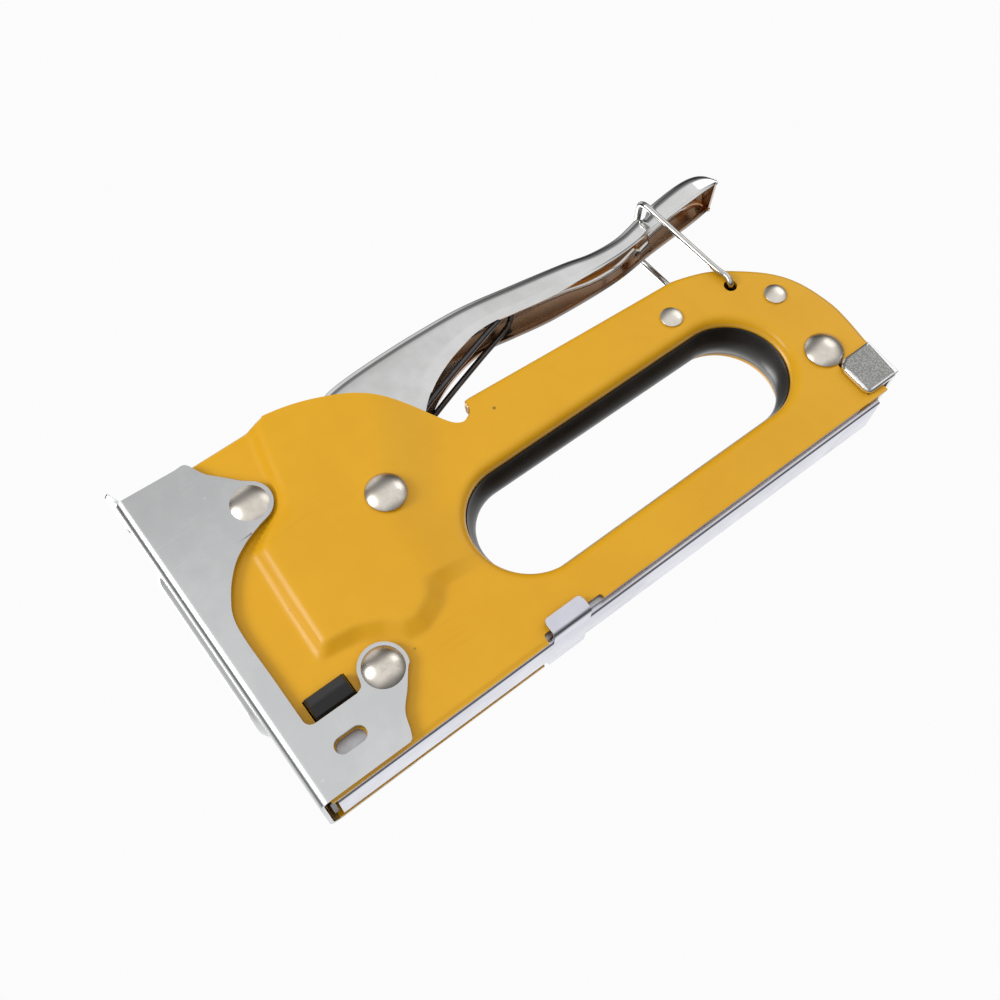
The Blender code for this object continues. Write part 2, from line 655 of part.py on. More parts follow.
paint = new_material("yellow_paint", STEEL_YELLOW, 0.35, 0.0)
chrome = new_material("chrome", (0.78, 0.78, 0.79), 0.18, 1.0)
nickel = new_material("nickel", (0.66, 0.63, 0.58), 0.25, 1.0)
zinc = new_material("zinc", (0.62, 0.62, 0.64), 0.4, 1.0)
zinc_bright = new_material("bright_zinc", (0.72, 0.72, 0.76), 0.3, 1.0)
zinc_cast = new_material("cast_zinc", (0.45, 0.45, 0.44), 0.45, 1.0)
dark_steel = new_material("hardened_steel", (0.25, 0.25, 0.26), 0.4, 1.0)
spring_steel = new_material("spring_steel", (0.12, 0.12, 0.13), 0.35, 1.0)
black_plastic = new_material("black_plastic", (0.02, 0.02, 0.02), 0.4, 0.0)
rubber = new_material("black_rubber", (0.025, 0.025, 0.028), 0.6, 0.0)

shell("shell_left", 1)
shell("shell_right", -1)
nose_plate()
grip_liner()
shock_pad()
magazine_guide()
body_fasteners()
drive_spring()
spring_seat()
blade_guide()
striker()
lever()
lift_arm()
return_spring()
bail()
magazine_channel()
staple_rail()
rear_catch()
guide_rod()
pusher_spring()
follower()
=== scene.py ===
import bmesh
import bpy
import numpy as np
from mathutils import Matrix, Vector

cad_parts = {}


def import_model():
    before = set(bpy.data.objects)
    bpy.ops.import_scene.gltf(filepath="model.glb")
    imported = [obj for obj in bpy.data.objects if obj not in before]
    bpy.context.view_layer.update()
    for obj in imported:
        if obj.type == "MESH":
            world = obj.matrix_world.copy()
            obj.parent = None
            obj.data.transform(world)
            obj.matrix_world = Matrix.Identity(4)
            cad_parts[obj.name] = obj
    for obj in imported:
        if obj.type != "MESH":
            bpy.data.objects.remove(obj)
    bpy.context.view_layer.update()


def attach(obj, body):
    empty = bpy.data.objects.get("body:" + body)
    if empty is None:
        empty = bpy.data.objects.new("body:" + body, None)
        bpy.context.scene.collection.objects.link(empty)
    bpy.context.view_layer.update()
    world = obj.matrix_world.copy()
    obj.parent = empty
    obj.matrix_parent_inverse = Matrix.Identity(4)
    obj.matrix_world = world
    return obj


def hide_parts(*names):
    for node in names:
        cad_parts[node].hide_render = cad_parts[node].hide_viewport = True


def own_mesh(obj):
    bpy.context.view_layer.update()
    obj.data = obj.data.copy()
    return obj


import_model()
mm = 0.001
lengthCentre = 94.0             # the body frame starts at the nose, the world at mid length

# pieces are worked out in millimetres: x across (left is +), y from the nose, z up


def smoothPath(points, spacing=0.8):
    # Catmull-Rom through the points, then evenly spaced along its length
    p = np.array(points, float)
    ends = np.vstack([2 * p[0] - p[1], p, 2 * p[-1] - p[-2]])
    t = np.linspace(0, 1, 24, endpoint=False)[:, None]
    a, b, c, d = (ends[i:len(ends) - 3 + i, None, :] for i in range(4))
    square, cube = 2 * a - 5 * b + 4 * c - d, 3 * b - a - 3 * c + d
    run = 0.5 * (2 * b + (c - a) * t + square * t ** 2 + cube * t ** 3)
    run = np.vstack([run.reshape(-1, p.shape[1]), p[-1:]])
    return resample(run, spacing)


def resample(run, spacing=None, count=None):
    step = np.linalg.norm(np.diff(run, axis=0), axis=1)
    along = np.concatenate([[0], np.cumsum(step)])
    if count is None:
        count = max(int(round(along[-1] / spacing)) + 1, 2)
    at = np.linspace(0, along[-1], count)
    return np.stack([np.interp(at, along, run[:, i]) for i in range(run.shape[1])], 1)


def chain(*runs):
    # runs joined end to end, repeated corner points dropped
    whole = np.vstack([np.array(r, float) for r in runs])
    apart = np.linalg.norm(np.diff(whole, axis=0), axis=1) > 1e-4
    return whole[np.concatenate([[True], apart])]


def arcRun(centre, radius, start, end, count=24):
    a = np.radians(np.linspace(start, end, count))
    return np.stack([centre[0] + radius * np.cos(a), centre[1] + radius * np.sin(a)], 1)


def ramp(d, width, soft):
    # 0 before, 1 after, straight between, with corners rounded by soft
    return (np.sqrt(d * d + soft * soft) - np.sqrt((d - width) ** 2 + soft * soft) + width) / (2 * width)


def smoothStep(low, high, v):
    t = np.clip((v - low) / (high - low), 0, 1)
    return t * t * (3 - 2 * t)


def signedDistance(y, z, line):
    # distance to an open line, positive on its left
    best = np.full(y.shape, 1e9)
    side = np.ones(y.shape)
    for (ay, az), (by, bz) in zip(line[:-1], line[1:]):
        ey, ez = by - ay, bz - az
        t = np.clip(((y - ay) * ey + (z - az) * ez) / (ey * ey + ez * ez), 0, 1)
        dy, dz = y - ay - t * ey, z - az - t * ez
        d = np.hypot(dy, dz)
        cross = ey * (z - az) - ez * (y - ay)
        near = d < best - 1e-9
        side = np.where(near, np.sign(cross), side)
        best = np.where(near, d, best)
    return best * side


def placed(name, data):
    item = bpy.data.objects.new(name, data)
    bpy.context.scene.collection.objects.link(item)
    return item


def meshFrom(name, points, faces, smooth=True):
    data = bpy.data.meshes.new(name)
    world = np.array(points, float).copy()
    world[:, 1] -= lengthCentre
    data.from_pydata((world * mm).tolist(), [], faces)
    data.polygons.foreach_set("use_smooth", np.full(len(data.polygons), smooth))
    data.update()
    return placed(name, data)


def gridFaces(rows, columns, wrapRows=False, wrapColumns=False):
    r = np.arange(rows if wrapRows else rows - 1)
    c = np.arange(columns if wrapColumns else columns - 1)
    rr, cc = np.meshgrid(r, c, indexing="ij")
    rn, cn = (rr + 1) % rows, (cc + 1) % columns
    quads = np.stack([rr * columns + cc, rn * columns + cc, rn * columns + cn, rr * columns + cn], -1)
    return quads.reshape(-1, 4).tolist()


def gridPiece(name, grid, wrapRows=False, wrapColumns=False, capRows=False, flip=False):
    rows, columns, _ = grid.shape
    faces = gridFaces(rows, columns, wrapRows, wrapColumns)
    if capRows:
        faces.append(list(range(columns)))
        faces.append([(rows - 1) * columns + i for i in range(columns)][::-1])
    if flip:
        faces = [f[::-1] for f in faces]
    return meshFrom(name, grid.reshape(-1, 3), faces)


def prism(name, outline, x0, x1):
    # a closed block drawn across the body from a side-view outline
    o = np.array(outline, float)
    n = len(o)
    low = np.column_stack([np.full(n, x0), o])
    high = np.column_stack([np.full(n, x1), o])
    sides = [[i, (i + 1) % n, n + (i + 1) % n, n + i] for i in range(n)]
    area = np.sum(o[:, 0] * np.roll(o[:, 1], -1) - o[:, 1] * np.roll(o[:, 0], -1))
    faces = sides + [list(range(n))[::-1], [n + i for i in range(n)]]
    if area < 0:
        faces = [f[::-1] for f in faces]
    return meshFrom(name, np.vstack([low, high]), faces, smooth=False)


def solidify(item, thickness):
    # sheet laid on the inner side of the drawn surface
    m = item.modifiers.new("sheet", "SOLIDIFY")
    m.thickness = thickness * mm
    m.offset = -1.0
    m.use_even_offset = True
    m.use_quality_normals = True


def bevel(item, width, segments=2, angle=40):
    m = item.modifiers.new("edge", "BEVEL")
    m.width = width * mm
    m.segments = segments
    m.limit_method = "ANGLE"
    m.angle_limit = np.radians(angle)
    m.harden_normals = True
    m.use_clamp_overlap = True


def boolean(item, cutter, operation="DIFFERENCE"):
    m = item.modifiers.new(operation.lower(), "BOOLEAN")
    m.object = cutter
    m.operation = operation
    m.solver = "EXACT"


def bake(item):
    # the modifiers so far become the mesh, smooth all over, so cutters can go
    bpy.context.view_layer.update()
    done = bpy.data.meshes.new_from_object(item.evaluated_get(bpy.context.evaluated_depsgraph_get()))
    cutters = [m.object for m in item.modifiers if m.type == "BOOLEAN"]
    item.modifiers.clear()
    item.data = done
    done.polygons.foreach_set("use_smooth", np.full(len(done.polygons), True))
    for c in cutters:
        bpy.data.objects.remove(c, do_unlink=True)


def joined(name, items):
    bm = bmesh.new()
    for it in items:
        bm.from_mesh(it.data)
        bpy.data.objects.remove(it, do_unlink=True)
    data = bpy.data.meshes.new(name)
    bm.to_mesh(data)
    bm.free()
    return placed(name, data)


def places(item):
    # where the vertices lie, back in the millimetres they were drawn in
    co = np.zeros(len(item.data.vertices) * 3)
    item.data.vertices.foreach_get("co", co)
    return co.reshape(-1, 3) / mm + (0, lengthCentre, 0)


def finish(item, material, slotName, body, *nodes):
    item.data.materials.clear()
    item.data.materials.append(material)
    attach(item, body)
    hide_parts(*nodes)
    return item


class Tree:
    # short calls for wiring shader nodes
    def __init__(self, tree):
        self.tree = tree

    def node(self, kind, **values):
        made = self.tree.nodes.new(kind)
        for key, value in values.items():
            setattr(made, key, value)
        return made

    def link(self, source, target):
        self.tree.links.new(source, target)

    def put(self, target, value):
        if isinstance(value, bpy.types.NodeSocket):
            self.link(value, target)
        elif value is not None:
            target.default_value = value

    def math(self, operation, a, b):
        n = self.node("ShaderNodeMath", operation=operation)
        self.put(n.inputs[0], a)
        self.put(n.inputs[1], b)
        return n.outputs[0]

    def times(self, a, b):
        return self.math("MULTIPLY", a, b)

    def plus(self, a, b):
        return self.math("ADD", a, b)

    def range(self, value, low, high, toLow=0.0, toHigh=1.0):
        n = self.node("ShaderNodeMapRange", interpolation_type="SMOOTHSTEP")
        for i, v in enumerate((value, low, high, toLow, toHigh)):
            self.put(n.inputs[i], v)
        return n.outputs[0]

    def noise(self, vector, scale, detail, rough=0.55):
        n = self.node("ShaderNodeTexNoise")
        self.put(n.inputs["Vector"], vector)
        self.put(n.inputs["Scale"], scale)
        self.put(n.inputs["Detail"], detail)
        self.put(n.inputs["Roughness"], rough)
        return n.outputs["Fac"]

    def voronoi(self, vector, scale, feature="F1"):
        n = self.node("ShaderNodeTexVoronoi", feature=feature)
        self.put(n.inputs["Vector"], vector)
        self.put(n.inputs["Scale"], scale)
        return n.outputs["Distance"]

    def mapped(self, vector, scale, turn):
        n = self.node("ShaderNodeMapping")
        self.put(n.inputs["Vector"], vector)
        n.inputs["Rotation"].default_value = tuple(np.radians(turn))
        n.inputs["Scale"].default_value = scale
        return n.outputs[0]

    def mix(self, factor, a, b):
        n = self.node("ShaderNodeMix", data_type="RGBA")
        self.put(n.inputs["Factor"], factor)
        self.put(n.inputs["A"], a if isinstance(a, bpy.types.NodeSocket) else (*a, 1.0))
        self.put(n.inputs["B"], b if isinstance(b, bpy.types.NodeSocket) else (*b, 1.0))
        return n.outputs["Result"]

    def bump(self, height, distance):
        n = self.node("ShaderNodeBump")
        self.put(n.inputs["Distance"], distance)
        self.put(n.inputs["Height"], height)
        return n.outputs[0]


def newGroup(name, inputs, outputs, build):
    # a node group, built once; inputs are (name, type, default) and outputs (name, type)
    group = bpy.data.node_groups.new(name, "ShaderNodeTree")
    for key, kind, value in inputs:
        s = group.interface.new_socket(name=key, in_out="INPUT", socket_type=kind)
        if value is not None:
            s.default_value = value
    for key, kind in outputs:
        group.interface.new_socket(name=key, in_out="OUTPUT", socket_type=kind)
    t = Tree(group)
    source = t.node("NodeGroupInput")
    sink = t.node("NodeGroupOutput")
    for key, socket in build(t, source.outputs).items():
        t.link(socket, sink.inputs[key])
    return group


def buildScratches(t, i):
    # thin straight marks in two directions, broken up by a coarse noise
    found = None
    for turn, stretch in ((27, 0.022), (-48, 0.03), (74, 0.026)):
        v = t.mapped(i["Vector"], scale=(1.0, stretch, 1.0), turn=(turn, turn * 0.4, turn))
        line = t.noise(v, 2600.0, 1.0, 0.4)
        mark = t.range(line, 0.69, 0.74)
        found = mark if found is None else t.math("MAXIMUM", found, mark)
    patches = t.range(t.noise(i["Vector"], 55.0, 2.0), i["Sparse"], t.plus(i["Sparse"], 0.12))
    return {"Mask": t.times(found, patches)}


def buildSpecks(t, i):
    # small round grains, only some of which show
    cell = t.voronoi(i["Vector"], i["Scale"])
    dot = t.range(cell, 0.16, 0.08)
    some = t.range(t.noise(i["Vector"], t.times(i["Scale"], 0.37), 1.0), i["Sparse"],
                   t.plus(i["Sparse"], 0.04))
    return {"Mask": t.times(dot, some)}


def buildGrain(t, i):
    # fine lines drawn out along one direction
    v = t.node("ShaderNodeVectorMath", operation="MULTIPLY")
    t.link(i["Vector"], v.inputs[0])
    t.link(i["Stretch"], v.inputs[1])
    fine = t.noise(v.outputs[0], 1500.0, 3.0, 0.65)
    broad = t.noise(v.outputs[0], 320.0, 2.0, 0.5)
    return {"Height": t.plus(t.times(fine, 0.65), t.times(broad, 0.35))}


def buildMottle(t, i):
    # cloudy patches at two sizes, centred on a half
    a = t.noise(i["Vector"], i["Scale"], 4.0, 0.6)
    b = t.noise(i["Vector"], t.times(i["Scale"], 5.3), 2.0, 0.5)
    return {"Value": t.plus(t.times(a, 0.7), t.times(b, 0.3))}


vec, num = "NodeSocketVector", "NodeSocketFloat"
scratches = newGroup("scratches", [("Vector", vec, None), ("Sparse", num, 0.55)], [("Mask", num)],
    buildScratches)
specks = newGroup("specks", [("Vector", vec, None), ("Scale", num, 300.0), ("Sparse", num, 0.6)],
    [("Mask", num)], buildSpecks)
grain = newGroup("grain", [("Vector", vec, None), ("Stretch", vec, (1, 1, 1))], [("Height", num)], buildGrain)
mottle = newGroup("mottle", [("Vector", vec, None), ("Scale", num, 60.0)], [("Value", num)], buildMottle)


def use(t, group, **values):
    n = t.node("ShaderNodeGroup", node_tree=group)
    for key, value in values.items():
        t.put(n.inputs[key], value)
    return n.outputs[0]


def newMaterial(name, build, **fixed):
    mat = bpy.data.materials.new(name)
    mat.use_nodes = True
    t = Tree(mat.node_tree)
    shader = mat.node_tree.nodes["Principled BSDF"]
    place = t.node("ShaderNodeTexCoord").outputs["Object"]
    for key, value in build(t, place).items():
        t.put(shader.inputs[key], value)
    for key, value in fixed.items():
        shader.inputs[key].default_value = value
    return mat


def enamelPaint(look):
    # glossy stoved enamel: soft waviness, dust nibs, hairlines and small dark chips
    def build(t, v):
        cloud = use(t, mottle, Vector=v, Scale=28.0)
        marks = use(t, scratches, Vector=v, Sparse=0.56)
        nibs = use(t, specks, Vector=v, Scale=260.0, Sparse=0.665)
        base = t.mix(t.range(cloud, 0.35, 0.65), look["colour"], look["shade"])
        base = t.mix(t.times(marks, look["scratchShade"]), base, look["scratchColour"])
        base = t.mix(t.times(nibs, 0.75), base, look["nibColour"])
        rough = t.plus(t.range(cloud, 0.3, 0.7, look["rough"], look["rough"] + 0.07), t.times(marks, 0.2))
        wave = t.noise(v, 420.0, 2.0, 0.5)
        height = t.math("SUBTRACT", t.times(wave, look["wave"]), t.times(nibs, 0.35))
        return {"Base Color": base, "Roughness": rough, "Normal": t.bump(height, 0.00002)}
    return newMaterial("yellowEnamel", build, **{"Coat Weight": look["coat"], "Coat Roughness": 0.12,
        "Specular IOR Level": look["gloss"]})


# inner is the colour of a painted reflection of the yellow paint, laid on the faces marked as inner
platedLook = dict(cloud=60.0, sparse=0.5, grain=0.6, pitScale=300.0, pits=0.3, inner=(0.42, 0.20, 0.07))


def platedMetal(name, **changes):
    # plated sheet: directional grain under the plating, hairlines, cloudy worn patches, small pits, and a
    # warm painted reflection of the yellow paint on the faces marked as inner
    look = {**platedLook, **changes}

    def build(t, v):
        cloud = use(t, mottle, Vector=v, Scale=look["cloud"])
        marks = use(t, scratches, Vector=v, Sparse=look["sparse"])
        lines = use(t, grain, Vector=v, Stretch=look["stretch"])
        base = t.mix(t.range(cloud, 0.35, 0.65), look["colour"], look["shade"])
        base = t.mix(t.times(marks, look["markShade"]), base, look["markColour"])
        pits = use(t, specks, Vector=v, Scale=look["pitScale"], Sparse=0.62)
        base = t.mix(t.times(pits, look["pits"]), base, look["markColour"])
        # how much painted reflection of the yellow paint each point gets, from the inner attribute
        reflectionShare = t.node("ShaderNodeAttribute", attribute_name="inner").outputs["Fac"]
        base = t.mix(reflectionShare, base, look["inner"])
        rough = t.plus(t.range(cloud, 0.3, 0.7, look["rough"], look["rough"] + look["roughSpread"]),
                       t.times(marks, 0.15))
        height = t.plus(t.times(lines, look["grain"]), t.times(marks, -0.12))
        return {"Base Color": base, "Roughness": rough, "Normal": t.bump(height, 0.000004)}
    return newMaterial(name, build, Metallic=1.0)


def castMetal(look):
    # pebbled casting with bright rims, painted brighter as worn edges and as a painted highlight
    def build(t, v):
        pebble = t.voronoi(v, look["pebble"], "SMOOTH_F1")
        fine = t.noise(v, 1800.0, 3.0, 0.6)
        height = t.plus(t.range(pebble, 0.1, 0.7, 1.0, 0.0), t.times(fine, 0.4))
        rim = t.node("ShaderNodeAttribute", attribute_name="rim").outputs["Fac"]
        # the rims: smoother as worn edges, and coloured brighter as worn metal and as a painted highlight
        wearAndHighlight = t.range(t.plus(rim, t.times(fine, 0.3)), 0.42, 0.6)
        base = t.mix(t.range(pebble, 0.15, 0.6), look["colour"], look["shade"])
        base = t.mix(wearAndHighlight, base, look["bright"])
        rough = t.math("SUBTRACT", look["rough"], t.times(wearAndHighlight, 0.15))
        depth = t.times(height, t.math("SUBTRACT", 1.0, t.times(wearAndHighlight, 0.8)))
        return {"Base Color": base, "Roughness": rough, "Normal": t.bump(depth, 0.000025)}
    return newMaterial("castZinc", build, Metallic=1.0)


def mouldedPlastic(name, look):
    # moulded surface: fine skin, dust specks and faint scuffs
    def build(t, v):
        cloud = use(t, mottle, Vector=v, Scale=45.0)
        marks = use(t, scratches, Vector=v, Sparse=0.5)
        nibs = use(t, specks, Vector=v, Scale=330.0, Sparse=0.64)
        base = t.mix(t.range(cloud, 0.35, 0.65), look["colour"], look["shade"])
        base = t.mix(t.math("MAXIMUM", t.times(marks, 0.12), t.times(nibs, 0.5)), base, look["dust"])
        rough = t.range(cloud, 0.3, 0.7, look["rough"], look["rough"] + 0.12)
        return {"Base Color": base, "Roughness": rough,
                "Normal": t.bump(t.noise(v, look["skin"], 3.0, 0.6), look["depth"])}
    return newMaterial(name, build, Metallic=0.0)


enamel = enamelPaint(dict(colour=(0.776, 0.400, 0.010), shade=(0.745, 0.375, 0.008), scratchShade=0.25,
    scratchColour=(0.62, 0.30, 0.02), nibColour=(0.16, 0.08, 0.015), rough=0.34, wave=0.5, coat=0.1,
    gloss=0.3))
noseMetal = platedMetal(
    "noseChrome", colour=(0.62, 0.625, 0.63), shade=(0.57, 0.575, 0.58), markColour=(0.85, 0.85, 0.85),
    markShade=0.12, rough=0.24, roughSpread=0.05, cloud=40.0, stretch=(1.0, 0.7, 0.25), pits=0.25)
leverMetal = platedMetal(
    "leverChrome", colour=(0.66, 0.665, 0.66), shade=(0.60, 0.605, 0.595), markColour=(0.8, 0.8, 0.8),
    markShade=0.3, rough=0.10, roughSpread=0.06, cloud=55.0, stretch=(1.0, 0.06, 0.6))
wireMetal = platedMetal(
    "bailChrome", colour=(0.52, 0.51, 0.49), shade=(0.44, 0.43, 0.41), markColour=(0.2, 0.2, 0.2),
    markShade=0.4, rough=0.12, roughSpread=0.06, cloud=90.0, sparse=0.52, stretch=(1.0, 1.0, 0.1),
    grain=0.2, pitScale=400.0)
rivetMetal = platedMetal(
    "rivetNickel", colour=(0.70, 0.655, 0.59), shade=(0.60, 0.555, 0.49), markColour=(0.35, 0.32, 0.28),
    markShade=0.35, rough=0.25, roughSpread=0.08, cloud=160.0, sparse=0.45, stretch=(0.5, 1.0, 1.0),
    grain=0.7, pitScale=500.0, pits=0.4)
channelMetal = platedMetal(
    "brightZinc", colour=(0.66, 0.66, 0.735), shade=(0.60, 0.60, 0.675), markColour=(0.35, 0.35, 0.4),
    markShade=0.3, rough=0.2, roughSpread=0.08, cloud=35.0, stretch=(1.0, 0.05, 1.0), grain=0.5,
    pitScale=420.0, pits=0.7)
innerMetal = platedMetal(
    "plainZinc", colour=(0.52, 0.52, 0.54), shade=(0.44, 0.44, 0.46), markColour=(0.3, 0.3, 0.3),
    markShade=0.4, rough=0.36, roughSpread=0.12, stretch=(1.0, 0.1, 1.0), pits=0.4)
hardMetal = platedMetal(
    "hardenedSteel", colour=(0.20, 0.20, 0.21), shade=(0.15, 0.15, 0.16), markColour=(0.4, 0.4, 0.4),
    markShade=0.5, rough=0.34, roughSpread=0.14, cloud=70.0, sparse=0.47, stretch=(1.0, 1.0, 0.1), pits=0.5)
springMetal = platedMetal(
    "springSteel", colour=(0.10, 0.10, 0.11), shade=(0.06, 0.06, 0.07), markColour=(0.3, 0.3, 0.3),
    markShade=0.4, rough=0.25, roughSpread=0.12, cloud=90.0, stretch=(1.0, 1.0, 1.0), grain=0.3,
    pitScale=400.0)
castZinc = castMetal(dict(colour=(0.34, 0.34, 0.33), shade=(0.22, 0.22, 0.21), bright=(0.80, 0.80, 0.80),
    pebble=2600.0, rough=0.36))
linerPlastic = mouldedPlastic("linerBlack", dict(
    colour=(0.006, 0.0055, 0.005), shade=(0.010, 0.009, 0.008), dust=(0.30, 0.30, 0.30), rough=0.26,
    skin=500.0, depth=0.00001))
padRubber = mouldedPlastic("padRubber", dict(
    colour=(0.008, 0.008, 0.009), shade=(0.012, 0.012, 0.013), dust=(0.35, 0.35, 0.35), rough=0.2,
    skin=900.0, depth=0.000006))
print("materials ready")

shellSizes = dict(
    face=10.0, sheet=1.0, bulge=3.0, soft=0.10,
    holeZ=30.0, holeRadius=15.8, holeFront=79.0, holeRear=148.5, rimRadius=2.6, rimDepth=3.2,
    foldRadius=2.0, foldEnd=0.35, lean=0.45, rays=600, rows=50, blend=15,
    bendShare=0.82, edgeShare=0.18, cutIn=4.13, cutOut=2.21)


def shellEdge():
    # the blank's outer edge, front bottom corner first, anticlockwise seen from the left
    rear = smoothPath([(179.0, 1.1), (182.5, 4.5), (183.9, 10.0), (184.3, 15.0), (185.3, 24.0),
        (185.2, 31.0), (182.9, 40.5), (178.3, 47.8), (170.1, 55.0), (163.9, 58.9), (155.2, 61.8),
        (149.9, 62.3)], 0.4)
    tip = smoothPath([(150.0, 62.3), (118.0, 64.0), (86.6, 65.8)], 0.4)
    notch = smoothPath([(86.6, 65.8), (85.3, 65.6), (85.2, 64.5), (84.9, 63.0), (83.6, 61.1),
        (81.3, 60.3), (79.4, 61.2), (78.0, 63.0), (76.3, 65.9), (72.5, 72.1), (67.5, 78.3), (61.7, 83.2),
        (54.2, 87.0), (47.4, 89.4), (40.6, 90.8), (35.0, 91.3)], 0.4)
    bottom = chain([(0.2, 0.1)], [(62.0, 0.1)])
    step = smoothPath([(62.0, 0.1), (71.0, 0.6), (80.4, 1.1)], 1.0)
    keel = np.array([(80.4, 1.1), (179.0, 1.1)])
    lid = np.array([(35.0, 91.3), (0.2, 91.0)])
    front = np.array([(0.2, 91.0), (0.2, 0.1)])
    return chain(resample(bottom, 0.4), step, resample(keel, 0.4), rear, tip, notch, resample(lid, 0.4),
                 resample(front, 0.4))


def holeMatch(edge, s):
    # for each edge point, how far round the hand hole the nearest point lies, going anticlockwise from the
    # front end of the lower straight
    front, rear, r = s["holeFront"], s["holeRear"], s["holeRadius"]
    y, z = edge[:, 0], edge[:, 1] - s["holeZ"]
    straight = rear - front
    between = (y >= front) & (y <= rear)
    aRear = np.arctan2(z, y - rear)
    aFront = np.arctan2(z, y - front)
    aFront = np.where(aFront < 0, aFront + 2 * np.pi, aFront)
    along = np.select(
        [between & (z < 0), y > rear, between],
        [y - front, straight + r * (aRear + np.pi / 2), straight + np.pi * r + rear - y],
        2 * straight + np.pi * r + r * (aFront - np.pi / 2))
    total = 2 * straight + 2 * np.pi * r
    return np.where(along > total, along - total, along), total


def slotPoint(along, radius, s):
    # point and outward direction on a slot of the given radius, for a distance round the hand hole
    straight = s["holeRear"] - s["holeFront"]
    r = s["holeRadius"]
    arcLength = np.pi * r
    total = 2 * straight + 2 * arcLength
    d = np.mod(along, total)
    a1 = (d - straight) / r - np.pi / 2
    a2 = (d - 2 * straight - arcLength) / r + np.pi / 2
    # the lower straight, the rear end and the upper straight; the front end is what remains
    stretch = [d < straight, d < straight + arcLength, d < 2 * straight + arcLength]
    angle = np.select(stretch, [-np.pi / 2, a1, np.pi / 2], a2)
    onTop = s["holeRear"] - (d - straight - arcLength)
    cy = np.select(stretch, [s["holeFront"] + d, s["holeRear"], onTop], s["holeFront"])
    out = np.stack([np.cos(angle), np.sin(angle)], -1)
    return np.stack([cy, np.full_like(cy, s["holeZ"])], -1) + radius * out, out


footLine = [(38.0, 100.0), (34.6, 91.3), (32.4, 82.0), (30.2, 72.2), (27.2, 67.4), (17.7, 60.9),
    (16.6, 45.0), (15.9, 28.6), (25.6, 27.2), (31.6, 24.3), (35.0, 20.4), (40.6, 19.6), (48.0, 22.6),
    (51.0, 26.4), (59.7, 25.4), (90.0, 25.0)]
crestLine = [(41.0, 100.0), (37.8, 90.2), (35.4, 81.0), (33.4, 72.0), (30.9, 66.2), (20.9, 60.4),
    (20.2, 45.0), (19.6, 31.4), (28.0, 30.4), (33.6, 28.0), (37.0, 24.6), (40.2, 24.0), (45.2, 26.8),
    (47.6, 30.6), (59.7, 29.6), (90.0, 29.4)]
fadeLine = [(67.0, 20.0), (67.0, 45.0), (80.0, 67.0), (100.0, 93.0)]


def bulgeHeight(y, z, s):
    # how far a point lies from the foot towards the crest, with both creases rounded
    foot = signedDistance(y, z, footLine)
    crest = signedDistance(y, z, crestLine)
    share = foot / np.maximum(foot - crest, 0.5)
    fade = signedDistance(y, z, fadeLine)
    return s["bulge"] * np.clip(ramp(share, 1.0, s["soft"]), 0, 1) * smoothStep(0.0, 20.0, fade)


def shellGrid(side, s):
    edge = shellEdge()
    raw, total = holeMatch(edge, s)
    # unwrap the match so it only increases, then even it out
    turns = np.unwrap(raw * 2 * np.pi / total) * total / (2 * np.pi)
    step = np.linalg.norm(np.diff(np.vstack([edge, edge[:1]]), axis=0), axis=1)
    along = np.concatenate([[0], np.cumsum(step)])
    at = np.linspace(0, along[-1], s["rays"], endpoint=False)
    closedEdge = np.vstack([edge, edge[:1]])
    closedTurns = np.concatenate([turns, [turns[0] + total]])
    ey = np.interp(at, along, closedEdge[:, 0])
    ez = np.interp(at, along, closedEdge[:, 1])
    hs = np.interp(at, along, closedTurns)
    width = s["blend"]
    kernel = np.hanning(width + 2)[1:-1]
    kernel /= kernel.sum()
    padded = np.concatenate([hs[-width:] - total, hs, hs[:width] + total])
    hs = np.convolve(padded, kernel, "same")[width:-width]
    edgePoints = np.stack([ey, ez], 1)
    start, _ = slotPoint(hs, s["holeRadius"] + s["rimRadius"], s)
    inward = start - edgePoints
    inward /= np.linalg.norm(inward, axis=1)[:, None]
    # the fold runs along the grip, from above the rear catch to the tip behind the lever, and over the
    # top of the nose
    grip = smoothStep(13.5, 16.5, ez) * smoothStep(84.5, 86.6, ey)
    lid = smoothStep(88.5, 90.4, ez) * smoothStep(40.0, 36.0, ey) * smoothStep(0.5, 2.5, ey)
    fold = np.clip(grip + lid, 0, 1)
    # rows from the hand hole outwards: wall, rolled rim, face, bend, flange
    rim = s["rimRadius"]
    face = s["face"]
    wall = [(0.0, depth) for depth in np.linspace(s["rimDepth"] + rim, rim, 3)[:-1]]
    wall += [(rim * (1 - np.cos(q)), rim * (1 - np.sin(q))) for q in np.linspace(0, np.pi / 2, 8)]
    rows = [(slotPoint(hs, s["holeRadius"] + out, s)[0], np.full(len(hs), -depth)) for out, depth in wall]
    bend = s["foldRadius"]
    stop = edgePoints + inward * bend
    for f in np.linspace(0, 1, s["rows"] + 1)[1:]:
        rows.append((start + (stop - start) * f, np.zeros(len(hs))))
    for q in np.linspace(0, np.pi / 2, 8)[1:]:
        folded = edgePoints + inward * (bend * (1 - np.sin(q)))
        flat = edgePoints + inward * (bend * (1 - q / (np.pi / 2) * s["bendShare"]))
        p = flat + (folded - flat) * fold[:, None]
        rows.append((p, -bend * (1 - np.cos(q)) * fold))
    for w in (0.35, 0.7, 1.0):
        flat = edgePoints + inward * (bend * s["edgeShare"] * (1 - w))
        p = flat + (edgePoints - flat) * fold[:, None]
        reach = face - bend - s["foldEnd"]
        rows.append((p, -(bend + reach * w) * fold))
    grid = np.zeros((len(rows), len(hs), 3))
    for i, (p, depth) in enumerate(rows):
        lift = bulgeHeight(p[:, 0], p[:, 1], s)
        grid[i, :, 0] = face + depth + lift * (1 + depth / face)
        grid[i, :, 1:] = p
    # the lower edge leans in a little
    low = smoothStep(1.6, 0.1, grid[..., 2]) * (grid[..., 1] < 170)
    grid[..., 0] -= s["lean"] * low
    grid[..., 0] *= side
    return grid


